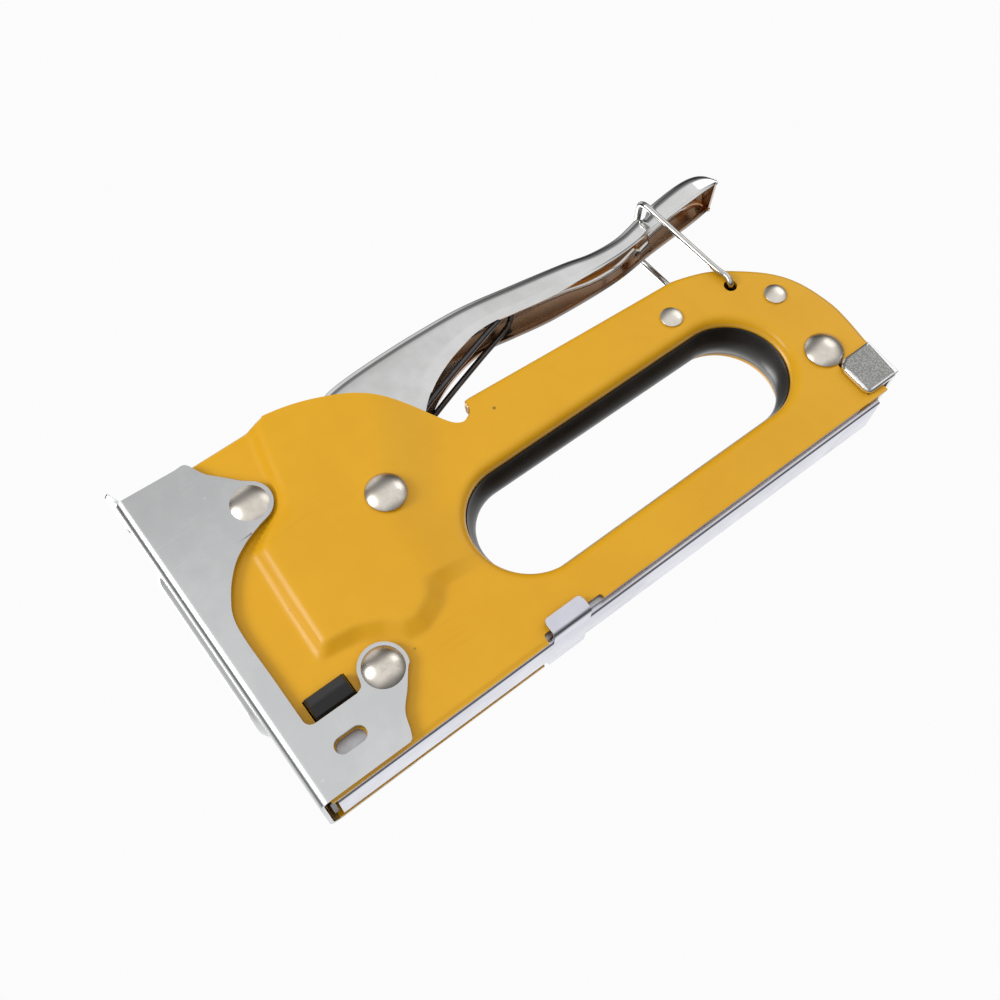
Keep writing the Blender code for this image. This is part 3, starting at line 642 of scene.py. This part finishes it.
def shellCutters(side, s):
    x0, x1 = sorted((side * (s["face"] - s["cutIn"]), side * (s["face"] + s["cutOut"])))
    notch = chain([(61.9, -2.0)], [(79.8, -2.0)], arcRun((78.9, 1.7), 0.9, 0, 90, 6),
                  arcRun((62.8, 1.7), 0.9, 90, 180, 6))
    catch = chain([(171.83, 2.87)], arcRun((176.57, 2.09), 0.77, 90, -30, 9), [(178.1, -3.1)],
        [(191.0, -3.1)], [(191.0, 14.63)], arcRun((172.63, 13.83), 0.8, 90, 180, 6))
    eye = arcRun(bailPivot, 1.85, 0, 345, 28)
    window = chain([(7.3, 16.9)], [(18.9, 16.9)], [(18.9, 23.3)], [(7.3, 23.3)])
    slot = chain(arcRun((9.5, 8.9), 2.05, 90, 270, 12), arcRun((13.2, 8.9), 2.05, -90, 90, 12))
    return [prism(f"cutter{i}", o, x0, x1) for i, o in enumerate([notch, catch, eye, window, slot])]


bailPivot = (166.0, 50.7)


def pressedShell():
    # the right half; the left one is its mirror image
    s = shellSizes
    item = gridPiece("shellRight", shellGrid(-1, s), wrapColumns=True, flip=True)
    solidify(item, s["sheet"])
    for c in shellCutters(-1, s):
        boolean(item, c)
    bake(item)
    return item


def mirrored(item, name):
    data = item.data.copy()
    data.transform(Matrix.Diagonal((-1, 1, 1, 1)))
    data.flip_normals()
    return placed(name, data)


shellRight = pressedShell()
shellLeft = mirrored(shellRight, "shellLeft")
for item, node in ((shellRight, "shell_right"), (shellLeft, "shell_left")):
    item.data.set_sharp_from_angle(angle=np.radians(38))
    finish(item, enamel, "yellow_paint", "body", node)
print("shells ready", len(shellLeft.data.vertices))

plateSizes = dict(inner=10.2, sheet=1.0, front=-1.6, bend=1.7, cheekEnd=36.0, bottom=0.5, top=94.0,
    ribWidth=5.4, ribRise=1.6, ribFoot=25.0, ribHead=74.0, cutHalf=14.0)
lipSizes = dict(half=10.5, foot=90.6, rise=6.0, corner=1.2, lean=1.7)


def plateOutline():
    upper = arcRun((24.4, 72.4), 6.0, -78, 55, 26)
    lower = arcRun((26.9, 18.3), 6.2, -25, 158, 34)
    foot = [(22.6, 0.7), (23.4, 2.4), (25.0, 6.8), (28.4, 10.8), (31.0, 14.2), (32.4, 15.8)]
    waist = [(5.1, 30.0), (5.2, 46.7), (7.9, 54.1), (12.8, 60.3), (18.0, 63.8), (23.6, 66.0)]
    head = [(25.9, 78.9), (22.8, 82.4), (19.6, 86.0), (17.8, 90.0), (16.6, 91.2), (14.5, 91.1)]
    return chain(
        [(-8.0, 0.5)], [(22.0, 0.5)], smoothPath(foot, 0.7)[:-1], lower,
        smoothPath([(20.9, 19.6), (20.2, 17.6), (18.6, 16.8)], 0.5), [(7.2, 16.8)],
        arcRun((7.2, 18.9), 2.1, 270, 180, 6), smoothPath(waist, 0.8), upper, smoothPath(head, 0.8),
        [(-0.4, 91.7)], [(-8.0, 91.9)])


def plateGrid(s):
    # plan section: cheek, bend, front wall with its rib, bend, cheek
    outer = s["inner"] + s["sheet"]
    b = s["bend"]
    cheek = np.column_stack([np.full(8, outer), np.linspace(s["cheekEnd"], s["front"] + b, 8)])
    a = np.radians(np.linspace(0, -90, 9))[1:]
    corner = np.column_stack([outer - b + b * np.cos(a), s["front"] + b + b * np.sin(a)])
    wall = np.column_stack([np.linspace(outer - b, -(outer - b), 97)[1:-1], np.full(95, s["front"])])
    plan = np.vstack([cheek, corner, wall, corner[::-1] * (-1, 1), cheek[::-1] * (-1, 1)])
    z = np.linspace(s["bottom"] - 1.0, s["top"], 170)
    zz, xx = np.meshgrid(z, plan[:, 0], indexing="ij")
    yy = np.broadcast_to(plan[:, 1], zz.shape).copy()
    # the rib is a raised pill down the middle of the front wall
    mid = np.clip(zz, s["ribFoot"] + s["ribWidth"], s["ribHead"] - s["ribWidth"])
    gap = np.hypot(xx, zz - mid)
    front = smoothStep(s["front"] + 0.05, s["front"] + 0.01, yy)
    yy -= s["ribRise"] * ramp(s["ribWidth"] + 0.8 - gap, 2.0, 0.5) * front
    return np.stack([xx, yy, zz], -1)


def lipGrid(s):
    # the front wall's top edge turned outwards, corners rounded
    x = np.linspace(-s["half"], s["half"], 43)
    t = np.linspace(0, 1, 14)
    xx, tt = np.meshgrid(x, t)
    rounded = s["corner"] * (np.abs(xx) / s["half"]) ** 18
    z = s["foot"] + s["rise"] * tt - rounded * tt
    y = plateSizes["front"] + 0.02 - s["lean"] * np.clip(tt - 0.12, 0, None) ** 1.35 * 1.15
    return np.stack([xx, y, z], -1)


def buildPlate():
    s = plateSizes
    item = gridPiece("nosePlate", plateGrid(s), flip=True)
    solidify(item, s["sheet"])
    boolean(item, prism("plateTrim", plateOutline(), -s["cutHalf"], s["cutHalf"]), "INTERSECT")
    slot = chain(arcRun((9.3, 8.9), 2.1, 90, 270, 14), arcRun((13.5, 8.9), 2.1, -90, 90, 14))
    boolean(item, prism("plateSlot", slot, -s["cutHalf"], s["cutHalf"]))
    bake(item)
    lip = gridPiece("lip", lipGrid(lipSizes), flip=True)
    solidify(lip, s["sheet"])
    bake(lip)
    item = joined("nosePlate", [item, lip])
    bevel(item, 0.2, 2, 50)
    finish(item, noseMetal, "chrome", "body", "nose_plate")


buildPlate()
print("nose plate ready")

rivetSizes = dict(
    upper=dict(at=(24.4, 72.4), radius=5.7, seat=11.3, rise=2.3, nodes="upper_nose_rivet"),
    lower=dict(at=(26.9, 18.3), radius=5.8, seat=11.3, rise=3.1, nodes="lower_nose_rivet"),
    pivot=dict(at=(52.8, 54.2), radius=5.35, seat=13.2, rise=2.2, nodes="lever_pivot_rivet"),
    gripFront=dict(at=(145.7, 52.4), radius=3.1, seat=10.2, rise=0.9, nodes="grip_front_rivet"),
    gripRear=dict(at=(173.9, 41.1), radius=3.1, seat=10.2, rise=1.0, nodes="grip_rear_rivet"),
    rear=dict(at=(172.0, 19.9), radius=5.4, seat=10.2, rise=2.3, nodes="rear_rivet"))


def turned(name, spec, radii, heights, sides, flip=False):
    # a profile turned about the rivet's line
    a = np.linspace(0, 2 * np.pi, sides, endpoint=False)
    grid = np.zeros((len(radii), sides, 3))
    grid[..., 0] = heights[:, None]
    grid[..., 1] = spec["at"][0] + radii[:, None] * np.cos(a)
    grid[..., 2] = spec["at"][1] + radii[:, None] * np.sin(a)
    return gridPiece(name, grid, wrapColumns=True, capRows=True, flip=flip)


def buildRivet(name, spec):
    # each head has a short rounded wall, then a cap cut from a ball
    r, rise, seat = spec["radius"], spec["rise"], spec["seat"]
    q = np.radians(np.linspace(52, 0.5, 26))
    cap = 0.28 + (rise - 0.28) * (np.cos(q) - np.cos(q[0])) / (1 - np.cos(q[0]))
    radii = np.concatenate([[r * 0.9, r * 0.97], r * np.sin(q) / np.sin(q[0])])
    heights = np.concatenate([[-0.3, -0.05], cap])
    parts = [turned(f"{name}Head", spec, radii, side * (seat + heights), 96, side < 0) for side in (1, -1)]
    shank = np.array([-1.0, 1.0]) * (seat + 0.1)
    parts.append(turned(f"{name}Shank", spec, np.full(2, r * 0.45), shank, 32))
    item = joined(f"{name}Rivet", parts)
    tidyNormals(item)
    finish(item, rivetMetal, "nickel", "body", spec["nodes"])


def tidyNormals(item):
    # outward faces, repeated points merged
    bm = bmesh.new()
    bm.from_mesh(item.data)
    bmesh.ops.remove_doubles(bm, verts=bm.verts, dist=2e-6)
    bmesh.ops.recalc_face_normals(bm, faces=bm.faces)
    for f in bm.faces:
        f.smooth = True
    bm.to_mesh(item.data)
    bm.free()


for name, spec in rivetSizes.items():
    buildRivet(name, spec)
print("rivets ready")

linerSizes = dict(radius=15.6, half=6.6, waist=2.5, lowerEase=0.95)


def buildLiner():
    s = linerSizes
    # section: outer wall, then the waisted inner wall drawn as a raised cosine, thinner along the bottom
    w = np.linspace(-1, 1, 41)
    crest = np.cos(w * np.pi / 2) ** 1.3
    swell = np.concatenate([np.zeros(3), crest, np.zeros(1)])
    radius = np.concatenate([np.full(3, s["radius"]), np.full(41, s["radius"] - 0.1), [s["radius"]]])
    across = np.concatenate([[s["half"] - 0.3], [-s["half"] + 0.3], [-s["half"]], w * s["half"], [s["half"]]])
    straight = shellSizes["holeRear"] - shellSizes["holeFront"]
    around = 2 * straight + 2 * np.pi * shellSizes["holeRadius"]
    along = np.linspace(0, around, 420, endpoint=False)
    base, out = slotPoint(along, 0.0, shellSizes)
    waist = s["waist"] - s["lowerEase"] * (1 - out[:, 1]) / 2
    reach = radius[None, :] - waist[:, None] * swell[None, :]
    grid = np.zeros((len(along), len(radius), 3))
    grid[..., 0] = across
    grid[..., 1:] = base[:, None, :] + out[:, None, :] * reach[..., None]
    item = gridPiece("gripLiner", grid, wrapRows=True, wrapColumns=True)
    tidyNormals(item)
    finish(item, linerPlastic, "black_plastic", "body", "grip_liner")


padSizes = dict(front=7.7, rear=18.5, bottom=17.3, top=22.9, half=12.4, edge=0.4, taper=0.08, ridgeAt=0.52,
                ridgeRise=1.5)


def buildPad():
    # a bar across the body; each end is a shallow roof with a ridge along it
    s = padSizes
    y0, y1, z0, z1 = s["front"], s["rear"], s["bottom"], s["top"]
    ridge = z0 + (z1 - z0) * s["ridgeAt"]
    outline = np.array([(y0, z0), (y1, z0), (y1, ridge), (y1, z1), (y0, z1), (y0, ridge)])
    centre = outline.mean(0)
    rings = []
    for side, inset in ((-1, s["edge"]), (-1, 0.0), (1, 0.0), (1, s["edge"])):
        taper = s["taper"] if inset else 0.0
        o = centre + (outline - centre) * (1 - taper)
        xs = np.full(len(o), side * (s["half"] - s["edge"] + inset))
        if inset:
            xs[[2, 5]] += side * s["ridgeRise"]
        rings.append(np.column_stack([xs, o]))
    item = gridPiece("shockPad", np.array(rings), wrapColumns=True, capRows=True)
    bm = bmesh.new()
    bm.from_mesh(item.data)
    # split each end along the ridge so that it stays two flat planes
    for f in [f for f in bm.faces if len(f.verts) == 6]:
        peak = sorted(f.verts, key=lambda v: -abs(v.co.x))
        bmesh.utils.face_split(f, peak[0], peak[1])
    bmesh.ops.recalc_face_normals(bm, faces=bm.faces)
    bm.to_mesh(item.data)
    bm.free()
    bevel(item, 0.22, 3, 12)
    finish(item, padRubber, "black_rubber", "body", "shock_pad")


buildLiner()
buildPad()
print("liner and pad ready")

# the last two values set how strongly the painted reflection of the yellow paint shows inside the crown and
# the cheeks
leverSizes = dict(half=7.25, sheet=1.1, shoulder=2.6, crownDrop=0.45, tip=190.6, tipZ=82.0, groove=1.5,
    curl=0.55, narrow=0.10, crownReflection=0.85, cheekReflection=0.1)
leverTop = [(54.0, 84.0), (55.2, 88.5), (57.6, 91.0), (62.0, 92.0), (69.0, 92.6), (76.9, 92.9),
    (87.5, 93.0), (103.0, 92.4), (119.7, 89.8), (134.9, 87.2), (144.0, 85.2), (153.2, 84.9),
    (162.8, 86.8), (170.1, 88.2), (179.4, 89.2), (185.5, 88.9), (188.6, 87.7), (190.2, 85.6)]
leverLow = [(54.0, 50.0), (57.0, 50.0), (62.0, 54.0), (70.0, 62.5), (76.5, 70.4), (83.2, 75.6),
    (91.3, 79.4), (100.3, 81.7), (107.6, 81.9), (114.1, 80.9), (128.2, 79.0), (149.7, 78.4),
    (165.6, 80.0), (180.6, 81.1), (188.6, 81.8), (190.6, 82.0)]


def buildLever():
    s = leverSizes
    top = smoothPath(leverTop, 0.3)
    low = smoothPath(leverLow, 0.3)
    stations = resample(top, count=360)
    y = stations[:, 0]
    topZ = stations[:, 1]
    lowZ = np.minimum(np.interp(y, low[:, 0], low[:, 1]), topZ - 0.8)
    # the bail's groove: a shallow valley across the top and shoulders
    groove = smoothStep(162.4, 163.4, y) * smoothStep(168.6, 166.4, y)
    # section: half width against height, shoulder drawn as a quarter ellipse
    q = np.linspace(0, 1, 15)
    crown = np.concatenate([np.linspace(0, s["half"] - s["shoulder"], 12)[:-1],
        s["half"] - s["shoulder"] + s["shoulder"] * np.sin(q * np.pi / 2)])
    drop = np.concatenate([s["crownDrop"] * (np.linspace(0, 1, 12)[:-1]) ** 2,
        s["crownDrop"] + (s["shoulder"] * 1.25) * (1 - np.cos(q * np.pi / 2))])
    down = np.linspace(0, 1, 14)[1:]
    n = len(crown)
    half = np.zeros((len(y), n + len(down), 3))
    half[..., 1] = y[:, None]
    half[:, :n, 0] = crown
    half[:, :n, 2] = topZ[:, None] - drop
    shoulderZ = half[:, n - 1, 2]
    half[:, n:, 0] = s["half"]
    half[:, n:, 2] = shoulderZ[:, None] + (np.minimum(lowZ, shoulderZ - 0.4) - shoulderZ)[:, None] * down
    half[..., 2] -= s["groove"] * groove[:, None] * smoothStep(-2.6, 0.0, half[..., 2] - shoulderZ[:, None])
    # the cheeks' lower edges curl in a little
    curl = smoothStep(0.72, 1.0, np.concatenate([np.zeros(n), down]))
    half[..., 0] -= s["curl"] * curl * smoothStep(76.0, 90.0, y)[:, None]
    # near the tip the width closes in a little
    narrow = 1 - s["narrow"] * smoothStep(183.0, s["tip"], y)
    half[..., 0] *= narrow[:, None]
    grid = np.concatenate([half[:, :0:-1] * (-1, 1, 1), half], axis=1)
    # the last stations bend down to close the end
    end = grid[-1].copy()
    fold = []
    for f in (0.35, 0.7, 1.0):
        row = end.copy()
        row[:, 2] = end[:, 2] + (s["tipZ"] - end[:, 2]) * f
        row[:, 1] = end[:, 1] + 0.3 * f
        fold.append(row)
    grid = np.concatenate([grid, np.array(fold)], axis=0)
    item = gridPiece("lever", grid, flip=True)
    outerCount = len(item.data.vertices)
    solidify(item, s["sheet"])
    bake(item)
    # the sheet's inner side gets a painted reflection of the yellow paint: strong under the crown, less so on
    # the cheeks
    under = np.abs(places(item)[:, 0]) < s["half"] - 1.5
    paintedReflection = np.where(under, s["crownReflection"], s["cheekReflection"])
    paintedReflection[:outerCount] = 0.0
    item.data.attributes.new("inner", "FLOAT", "POINT").data.foreach_set("value", paintedReflection.astype(np.float32))
    bevel(item, 0.2, 2, 50)
    finish(item, leverMetal, "chrome", "lever", "lever")


buildLever()
print("lever ready")


def tubeGrid(path, radius, sides):
    # rings carried along the path without twist, closed by shrinking the end rings
    p = np.array(path, float)
    tangent = np.gradient(p, axis=0)
    tangent /= np.linalg.norm(tangent, axis=1)[:, None]
    normal = np.cross(tangent[0], (0.3, 0.2, 0.93))
    normal /= np.linalg.norm(normal)
    rings = []
    a = np.linspace(0, 2 * np.pi, sides, endpoint=False)
    for i in range(len(p)):
        normal = normal - tangent[i] * np.dot(normal, tangent[i])
        normal /= np.linalg.norm(normal)
        other = np.cross(tangent[i], normal)
        rings.append(p[i] + radius * (np.cos(a)[:, None] * normal + np.sin(a)[:, None] * other))
    rings = np.array(rings)
    for index, step in ((0, -1), (-1, 1)):
        ring = p[index] + (rings[index] - p[index]) * 0.8 + tangent[index] * step * radius * 0.25
        rings = np.concatenate([[ring], rings]) if index == 0 else np.concatenate([rings, [ring]])
    return rings


def wire(name, path, radius, sides):
    item = gridPiece(name, tubeGrid(path, radius, sides), wrapColumns=True, capRows=True)
    tidyNormals(item)
    return item


bailSizes = dict(wire=0.9, top=(164.1, 87.0), inner=7.6, outer=11.3)


def buildBail():
    # from inside one shell out through its eye, up, across the lever's groove and down again
    s = bailSizes
    py, pz = bailPivot
    by, bz = s["top"]
    lean = (by - py) / (bz - pz)
    wide = s["outer"]
    half = [(s["inner"], py, pz), (wide - 1.5, py, pz), (wide - 0.5, py, pz + 0.25),
            (wide, py + 0.25, pz + 1.4), (wide + 0.05, py + 0.35, pz + 2.8)]
    half += [(wide, py + lean * (z - pz), z) for z in (pz + 6.0, pz + 14.0, pz + 26.0, bz - 2.8)]
    half += [(wide - 0.3, by, bz - 1.2), (wide - 1.2, by, bz - 0.2), (wide - 2.5, by, bz), (4.0, by, bz)]
    path = smoothPath(half + [(-x, y, z) for x, y, z in reversed(half)], 0.35)
    item = wire("bail", path, s["wire"], 20)
    finish(item, wireMetal, "chrome", "bail", "bail")


returnSizes = dict(at=(52.8, 54.2), radius=7.9, wire=0.85, turns=2.25, end=105, inner=3.4, spread=1.9)


def buildReturnSpring():
    # a double torsion spring: a coil each side of the middle, joined by a long hairpin under the lever
    s = returnSizes
    py, pz = s["at"]
    a = np.radians(s["end"] - 360 * s["turns"] * np.linspace(1, 0, 90))
    x = s["inner"] + s["spread"] * np.linspace(0, 1, 90)
    half = np.column_stack([x, py + s["radius"] * np.cos(a), pz + s["radius"] * np.sin(a)])
    leg = [(5.0, 79.0, 72.6), (4.8, 100.0, 79.6), (4.6, 112.0, 83.2), (3.8, 115.4, 84.5), (2.0, 116.2, 85.0),
           (0.0, 116.4, 85.1)]
    one = np.vstack([half, leg])
    path = smoothPath(np.vstack([one, one[:-1][::-1] * (-1, 1, 1)]), 0.7)
    item = wire("returnSpring", path, s["wire"], 14)
    finish(item, springMetal, "spring_steel", "lever", "return_spring")


coilSizes = dict(
    main=dict(radius=5.2, wire=0.9, turns=7.5, start=40.8, end=84.0, y=9.5, ring=60),
    pusher=dict(radius=2.35, wire=0.35, turns=20, start=18.4, end=176.0, z=5.9, ring=36))


def coilPath(spec):
    # evenly pitched turns, wound half as steep over the last three quarters of a turn at each end
    a = np.linspace(0, 2 * np.pi * spec["turns"], int(spec["turns"] * spec["ring"]))
    free = np.linspace(0, 1, len(a))
    close = 0.75 / spec["turns"]
    share = np.interp(free, [0, close, 1 - close, 1], [0, close * 0.5, 1 - close * 0.5, 1])
    low, high = spec["start"] + spec["wire"], spec["end"] - spec["wire"]
    return spec["radius"] * np.cos(a), spec["radius"] * np.sin(a), low + (high - low) * share


def buildCoils():
    # each spring is drawn as a wound coil and given a mesh of its own
    s = coilSizes["main"]
    x, y, z = coilPath(s)
    item = wire("mainSpring", np.column_stack([x, y + s["y"], z]), s["wire"], 12)
    finish(item, springMetal, "spring_steel", "body", "main_spring")
    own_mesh(item)
    s = coilSizes["pusher"]
    x, z, y = coilPath(s)
    item = wire("pusherSpring", np.column_stack([x, y, z + s["z"]]), s["wire"], 10)
    finish(item, springMetal, "spring_steel", "pusher_unit", "pusher_spring")
    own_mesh(item)


buildBail()
buildReturnSpring()
buildCoils()
print("wires ready")

channelSizes = dict(half=6.85, sheet=0.8, corner=0.9, height=12.4, front=1.5, rear=175.0, earFront=63.5,
    earRear=74.8, earOut=11.4, earTop=4.1, earLift=0.82, earRound=1.2)


def sweep(section, y):
    # an open section, given across and up, carried along the stations y
    grid = np.zeros((len(y), len(section), 3))
    grid[..., 0] = section[:, 0]
    grid[..., 1] = y[:, None]
    grid[..., 2] = section[:, 1]
    return grid


def buildEar(side, s):
    # a strap out from under the channel and up, its upper corners rounded
    corner, rounding = s["corner"], s["earRound"]
    q = np.radians(np.linspace(-90, 0, 8))
    bend = np.column_stack([s["earOut"] - corner + corner * np.cos(q), corner + corner * np.sin(q)])
    strap = np.vstack([[(s["half"] - 1.2, 0.0)], [(s["half"] + 1.0, 0.0)], bend, [(s["earOut"], 3.0)],
        [(s["earOut"], s["earTop"])]])
    y = np.linspace(s["earFront"], s["earRear"], 24)
    grid = sweep(strap * (side, 1) + (0, s["earLift"]), y)
    near = np.minimum(y - s["earFront"], s["earRear"] - y)
    cut = np.clip(rounding - near, 0, None)
    grid[:, -1, 2] -= rounding - np.sqrt(np.clip(rounding ** 2 - cut ** 2, 0, None))
    ear = gridPiece(f"ear{side}", grid, flip=side > 0)
    solidify(ear, s["sheet"])
    bake(ear)
    return ear


def buildChannel():
    s = channelSizes
    a = np.radians(np.linspace(0, -90, 8))
    corner = np.column_stack([s["half"] - s["corner"] + s["corner"] * np.cos(a),
        s["corner"] + s["corner"] * np.sin(a)])
    right = np.vstack([[(s["half"], s["height"])], [(s["half"], 4.0)], corner])
    section = np.vstack([right, [(0.0, 0.0)], (right * (-1, 1))[::-1]])
    item = gridPiece("magazineChannel", sweep(section, np.linspace(s["front"], s["rear"], 220)), flip=True)
    solidify(item, s["sheet"])
    bake(item)
    ears = [buildEar(side, s) for side in (1, -1)]
    item = joined("magazineChannel", [item, *ears])
    bevel(item, 0.15, 2, 50)
    finish(item, channelMetal, "bright_zinc", "magazine", "magazine_channel")


catchSizes = dict(front=171.0, rear=182.7, bottom=2.6, top=14.5, inner=10.3, outer=11.9, wall=1.7)


def buildCatch():
    # two cheeks, each a closed block with a softened outer face, joined by a plate behind
    s = catchSizes
    y0, y1, z0, z1 = s["front"], s["rear"], s["bottom"], s["top"]
    inner, outer = s["inner"], s["outer"]
    outline = chain(arcRun((y0 + 3.4, z1 - 3.4), 3.4, 90, 180, 10), arcRun((y0 + 2.2, z0 + 2.2), 2.2, 180,
        270, 8), arcRun((y1 - 1.8, z0 + 1.0), 1.0, 270, 350, 5), [(y1, z1 - 0.5)], [(y1 - 0.5, z1)])
    n = len(outline)
    centre = outline.mean(0)
    cheeks = []
    for side in (1, -1):
        steps = [(inner, 1.0), (outer - 0.5, 1.0), (outer, 0.90),
                 *((outer, k) for k in (0.82, 0.6, 0.3, 0.05))]
        rings = [np.column_stack([np.full(n, side * x), centre + (outline - centre) * k]) for x, k in steps]
        cheeks.append(gridPiece(f"cheek{side}", np.array(rings), wrapColumns=True, capRows=True,
            flip=side < 0))
    reach, inside = outer - 0.2, y1 - s["wall"]
    back = [(-reach, inside), (reach, inside), (reach, y1 - 0.05), (-reach, y1 - 0.05)]
    g = np.array([[(x, y, z) for x, y in back] for z in (z0 + 0.3, z1 - 0.2)])
    cheeks.append(gridPiece("catchBack", g, wrapColumns=True, capRows=True))
    item = joined("rearCatch", cheeks)
    tidyNormals(item)
    # rim marks the outer band of each face, which the material paints brighter as worn edges and as a painted
    # highlight
    middle = np.array([(y0 + y1) / 2, (z0 + z1) / 2])
    inside = np.abs((places(item)[:, 1:] - middle) / np.array([(y1 - y0) / 2, (z1 - z0) / 2])).max(1)
    rim = item.data.attributes.new("rim", "FLOAT", "POINT")
    rim.data.foreach_set("value", smoothStep(0.80, 0.97, inside).astype(np.float32))
    bevel(item, 0.3, 2, 40)
    finish(item, castZinc, "cast_zinc", "pusher_unit", "rear_catch")


buildChannel()
buildCatch()
print("magazine and catch ready")

# the inner pieces keep the CAD shapes and only get materials

innerLooks = {innerMetal: ["upper_nose_bush", "lower_nose_bush", "grip_front_bush", "grip_rear_bush",
    "rear_bush", "spring_seat", "blade_guide", "magazine_guide", "staple_rail", "guide_rod"],
    hardMetal: ["striker_blade", "hammer", "lift_arm", "follower"]}
for material, nodes in innerLooks.items():
    for node in nodes:
        item = bpy.data.objects[node]
        for holder in item.material_slots:
            holder.link = "OBJECT"
            holder.material = material
        if not item.material_slots:
            item.data.materials.append(material)


def stagePlane():
    # a pale floor seen and lit from above only
    data = bpy.data.meshes.new("floor")
    r, level = 8.0, -0.0002
    data.from_pydata([(-r, -r, level), (r, -r, level), (r, r, level), (-r, r, level)], [], [(0, 1, 2, 3)])
    floor = placed("floor", data)
    mat = bpy.data.materials.new("floor")
    mat.use_nodes = True
    t = Tree(mat.node_tree)
    shader = mat.node_tree.nodes["Principled BSDF"]
    shader.inputs["Base Color"].default_value = (0.82, 0.82, 0.82, 1)
    shader.inputs["Roughness"].default_value = 0.9
    shader.inputs["Emission Color"].default_value = (1, 1, 1, 1)
    shader.inputs["Emission Strength"].default_value = 0.32
    through = t.node("ShaderNodeBsdfTransparent")
    mixer = t.node("ShaderNodeMixShader")
    t.link(t.node("ShaderNodeNewGeometry").outputs["Backfacing"], mixer.inputs[0])
    t.link(shader.outputs[0], mixer.inputs[1])
    t.link(through.outputs[0], mixer.inputs[2])
    t.link(mixer.outputs[0], mat.node_tree.nodes["Material Output"].inputs["Surface"])
    data.materials.append(mat)
    for flag in ("visible_diffuse", "visible_glossy", "visible_transmission", "visible_shadow"):
        setattr(floor, flag, False)


def areaLight(name, place, target, size, power):
    data = bpy.data.lights.new(name, "AREA")
    data.shape = "RECTANGLE"
    data.size, data.size_y = size
    data.energy = power
    item = placed(name, data)
    item.location = place
    item.rotation_euler = (Vector(target) - Vector(place)).to_track_quat("-Z", "Y").to_euler()
    item.visible_camera = False


def world(look):
    # the camera sees an even pale backdrop; the object is lit by a bright wall on each side and a
    # dark band in the plane between them, which draws the lines along the polished parts
    w = bpy.data.worlds.new("studio")
    w.use_nodes = True
    t = Tree(w.node_tree)
    backdrop = w.node_tree.nodes["Background"]
    way = t.node("ShaderNodeSeparateXYZ")
    t.link(t.node("ShaderNodeTexCoord").outputs["Generated"], way.inputs[0])
    left = t.range(way.outputs[0], look["bandEnd"], look["leftFull"], look["band"], look["left"])
    right = t.range(way.outputs[0], look["bandStart"], look["rightFull"], 0.0, look["right"])
    above = t.range(way.outputs[2], look["lidStart"], look["lidFull"], 1.0, look["lid"])
    below = t.range(way.outputs[2], look["underFull"], look["underEnd"], look["under"], 1.0)
    walls = t.times(t.times(t.plus(left, right), above), below)
    top = t.range(way.outputs[2], look["topStart"], look["topFull"], 0.0, look["top"])
    light = t.plus(walls, top)
    seen = t.node("ShaderNodeLightPath").outputs["Is Camera Ray"]
    t.put(backdrop.inputs["Strength"], t.plus(t.times(seen, look["shown"]),
        t.times(t.math("SUBTRACT", 1.0, seen), light)))
    backdrop.inputs["Color"].default_value = (1, 1, 1, 1)
    bpy.context.scene.world = w


def camera():
    data = bpy.data.cameras.new("view")
    data.sensor_width = 36.0
    data.lens = 40.32
    data.clip_start = 0.01
    item = placed("view", data)
    # which way the picture's right, its top and the camera's back point, then where it stands
    right, up, back = (0.0243, 0.7945, -0.6067), (0.421, 0.5424, 0.7271), (0.9067, -0.2731, -0.3213)
    turn = Matrix((right, up, back)).transposed().to_4x4()
    item.matrix_world = Matrix.Translation((0.2645, -0.0955, -0.05335)) @ turn
    bpy.context.scene.camera = item


stagePlane()
bpy.context.scene.view_settings.view_transform = "Standard"
world(dict(shown=0.97, band=0.10, left=1.0, right=0.94, top=0.9, bandEnd=0.02, leftFull=0.75,
           bandStart=-0.08, rightFull=-0.45, lidStart=0.40, lidFull=0.66, lid=0.28, under=0.4,
           underFull=-0.8, underEnd=-0.42, topStart=0.85, topFull=0.97))
areaLight("key", (0.46, -0.62, 0.30), (0, 0, 0.04), (0.3, 0.3), 2.6)
areaLight("fill", (-0.6, -0.3, 0.42), (0, 0, 0.04), (0.35, 0.35), 2.0)
areaLight("rear", (0.45, 0.7, 0.25), (0, 0, 0.04), (0.4, 0.4), 0.6)
camera()
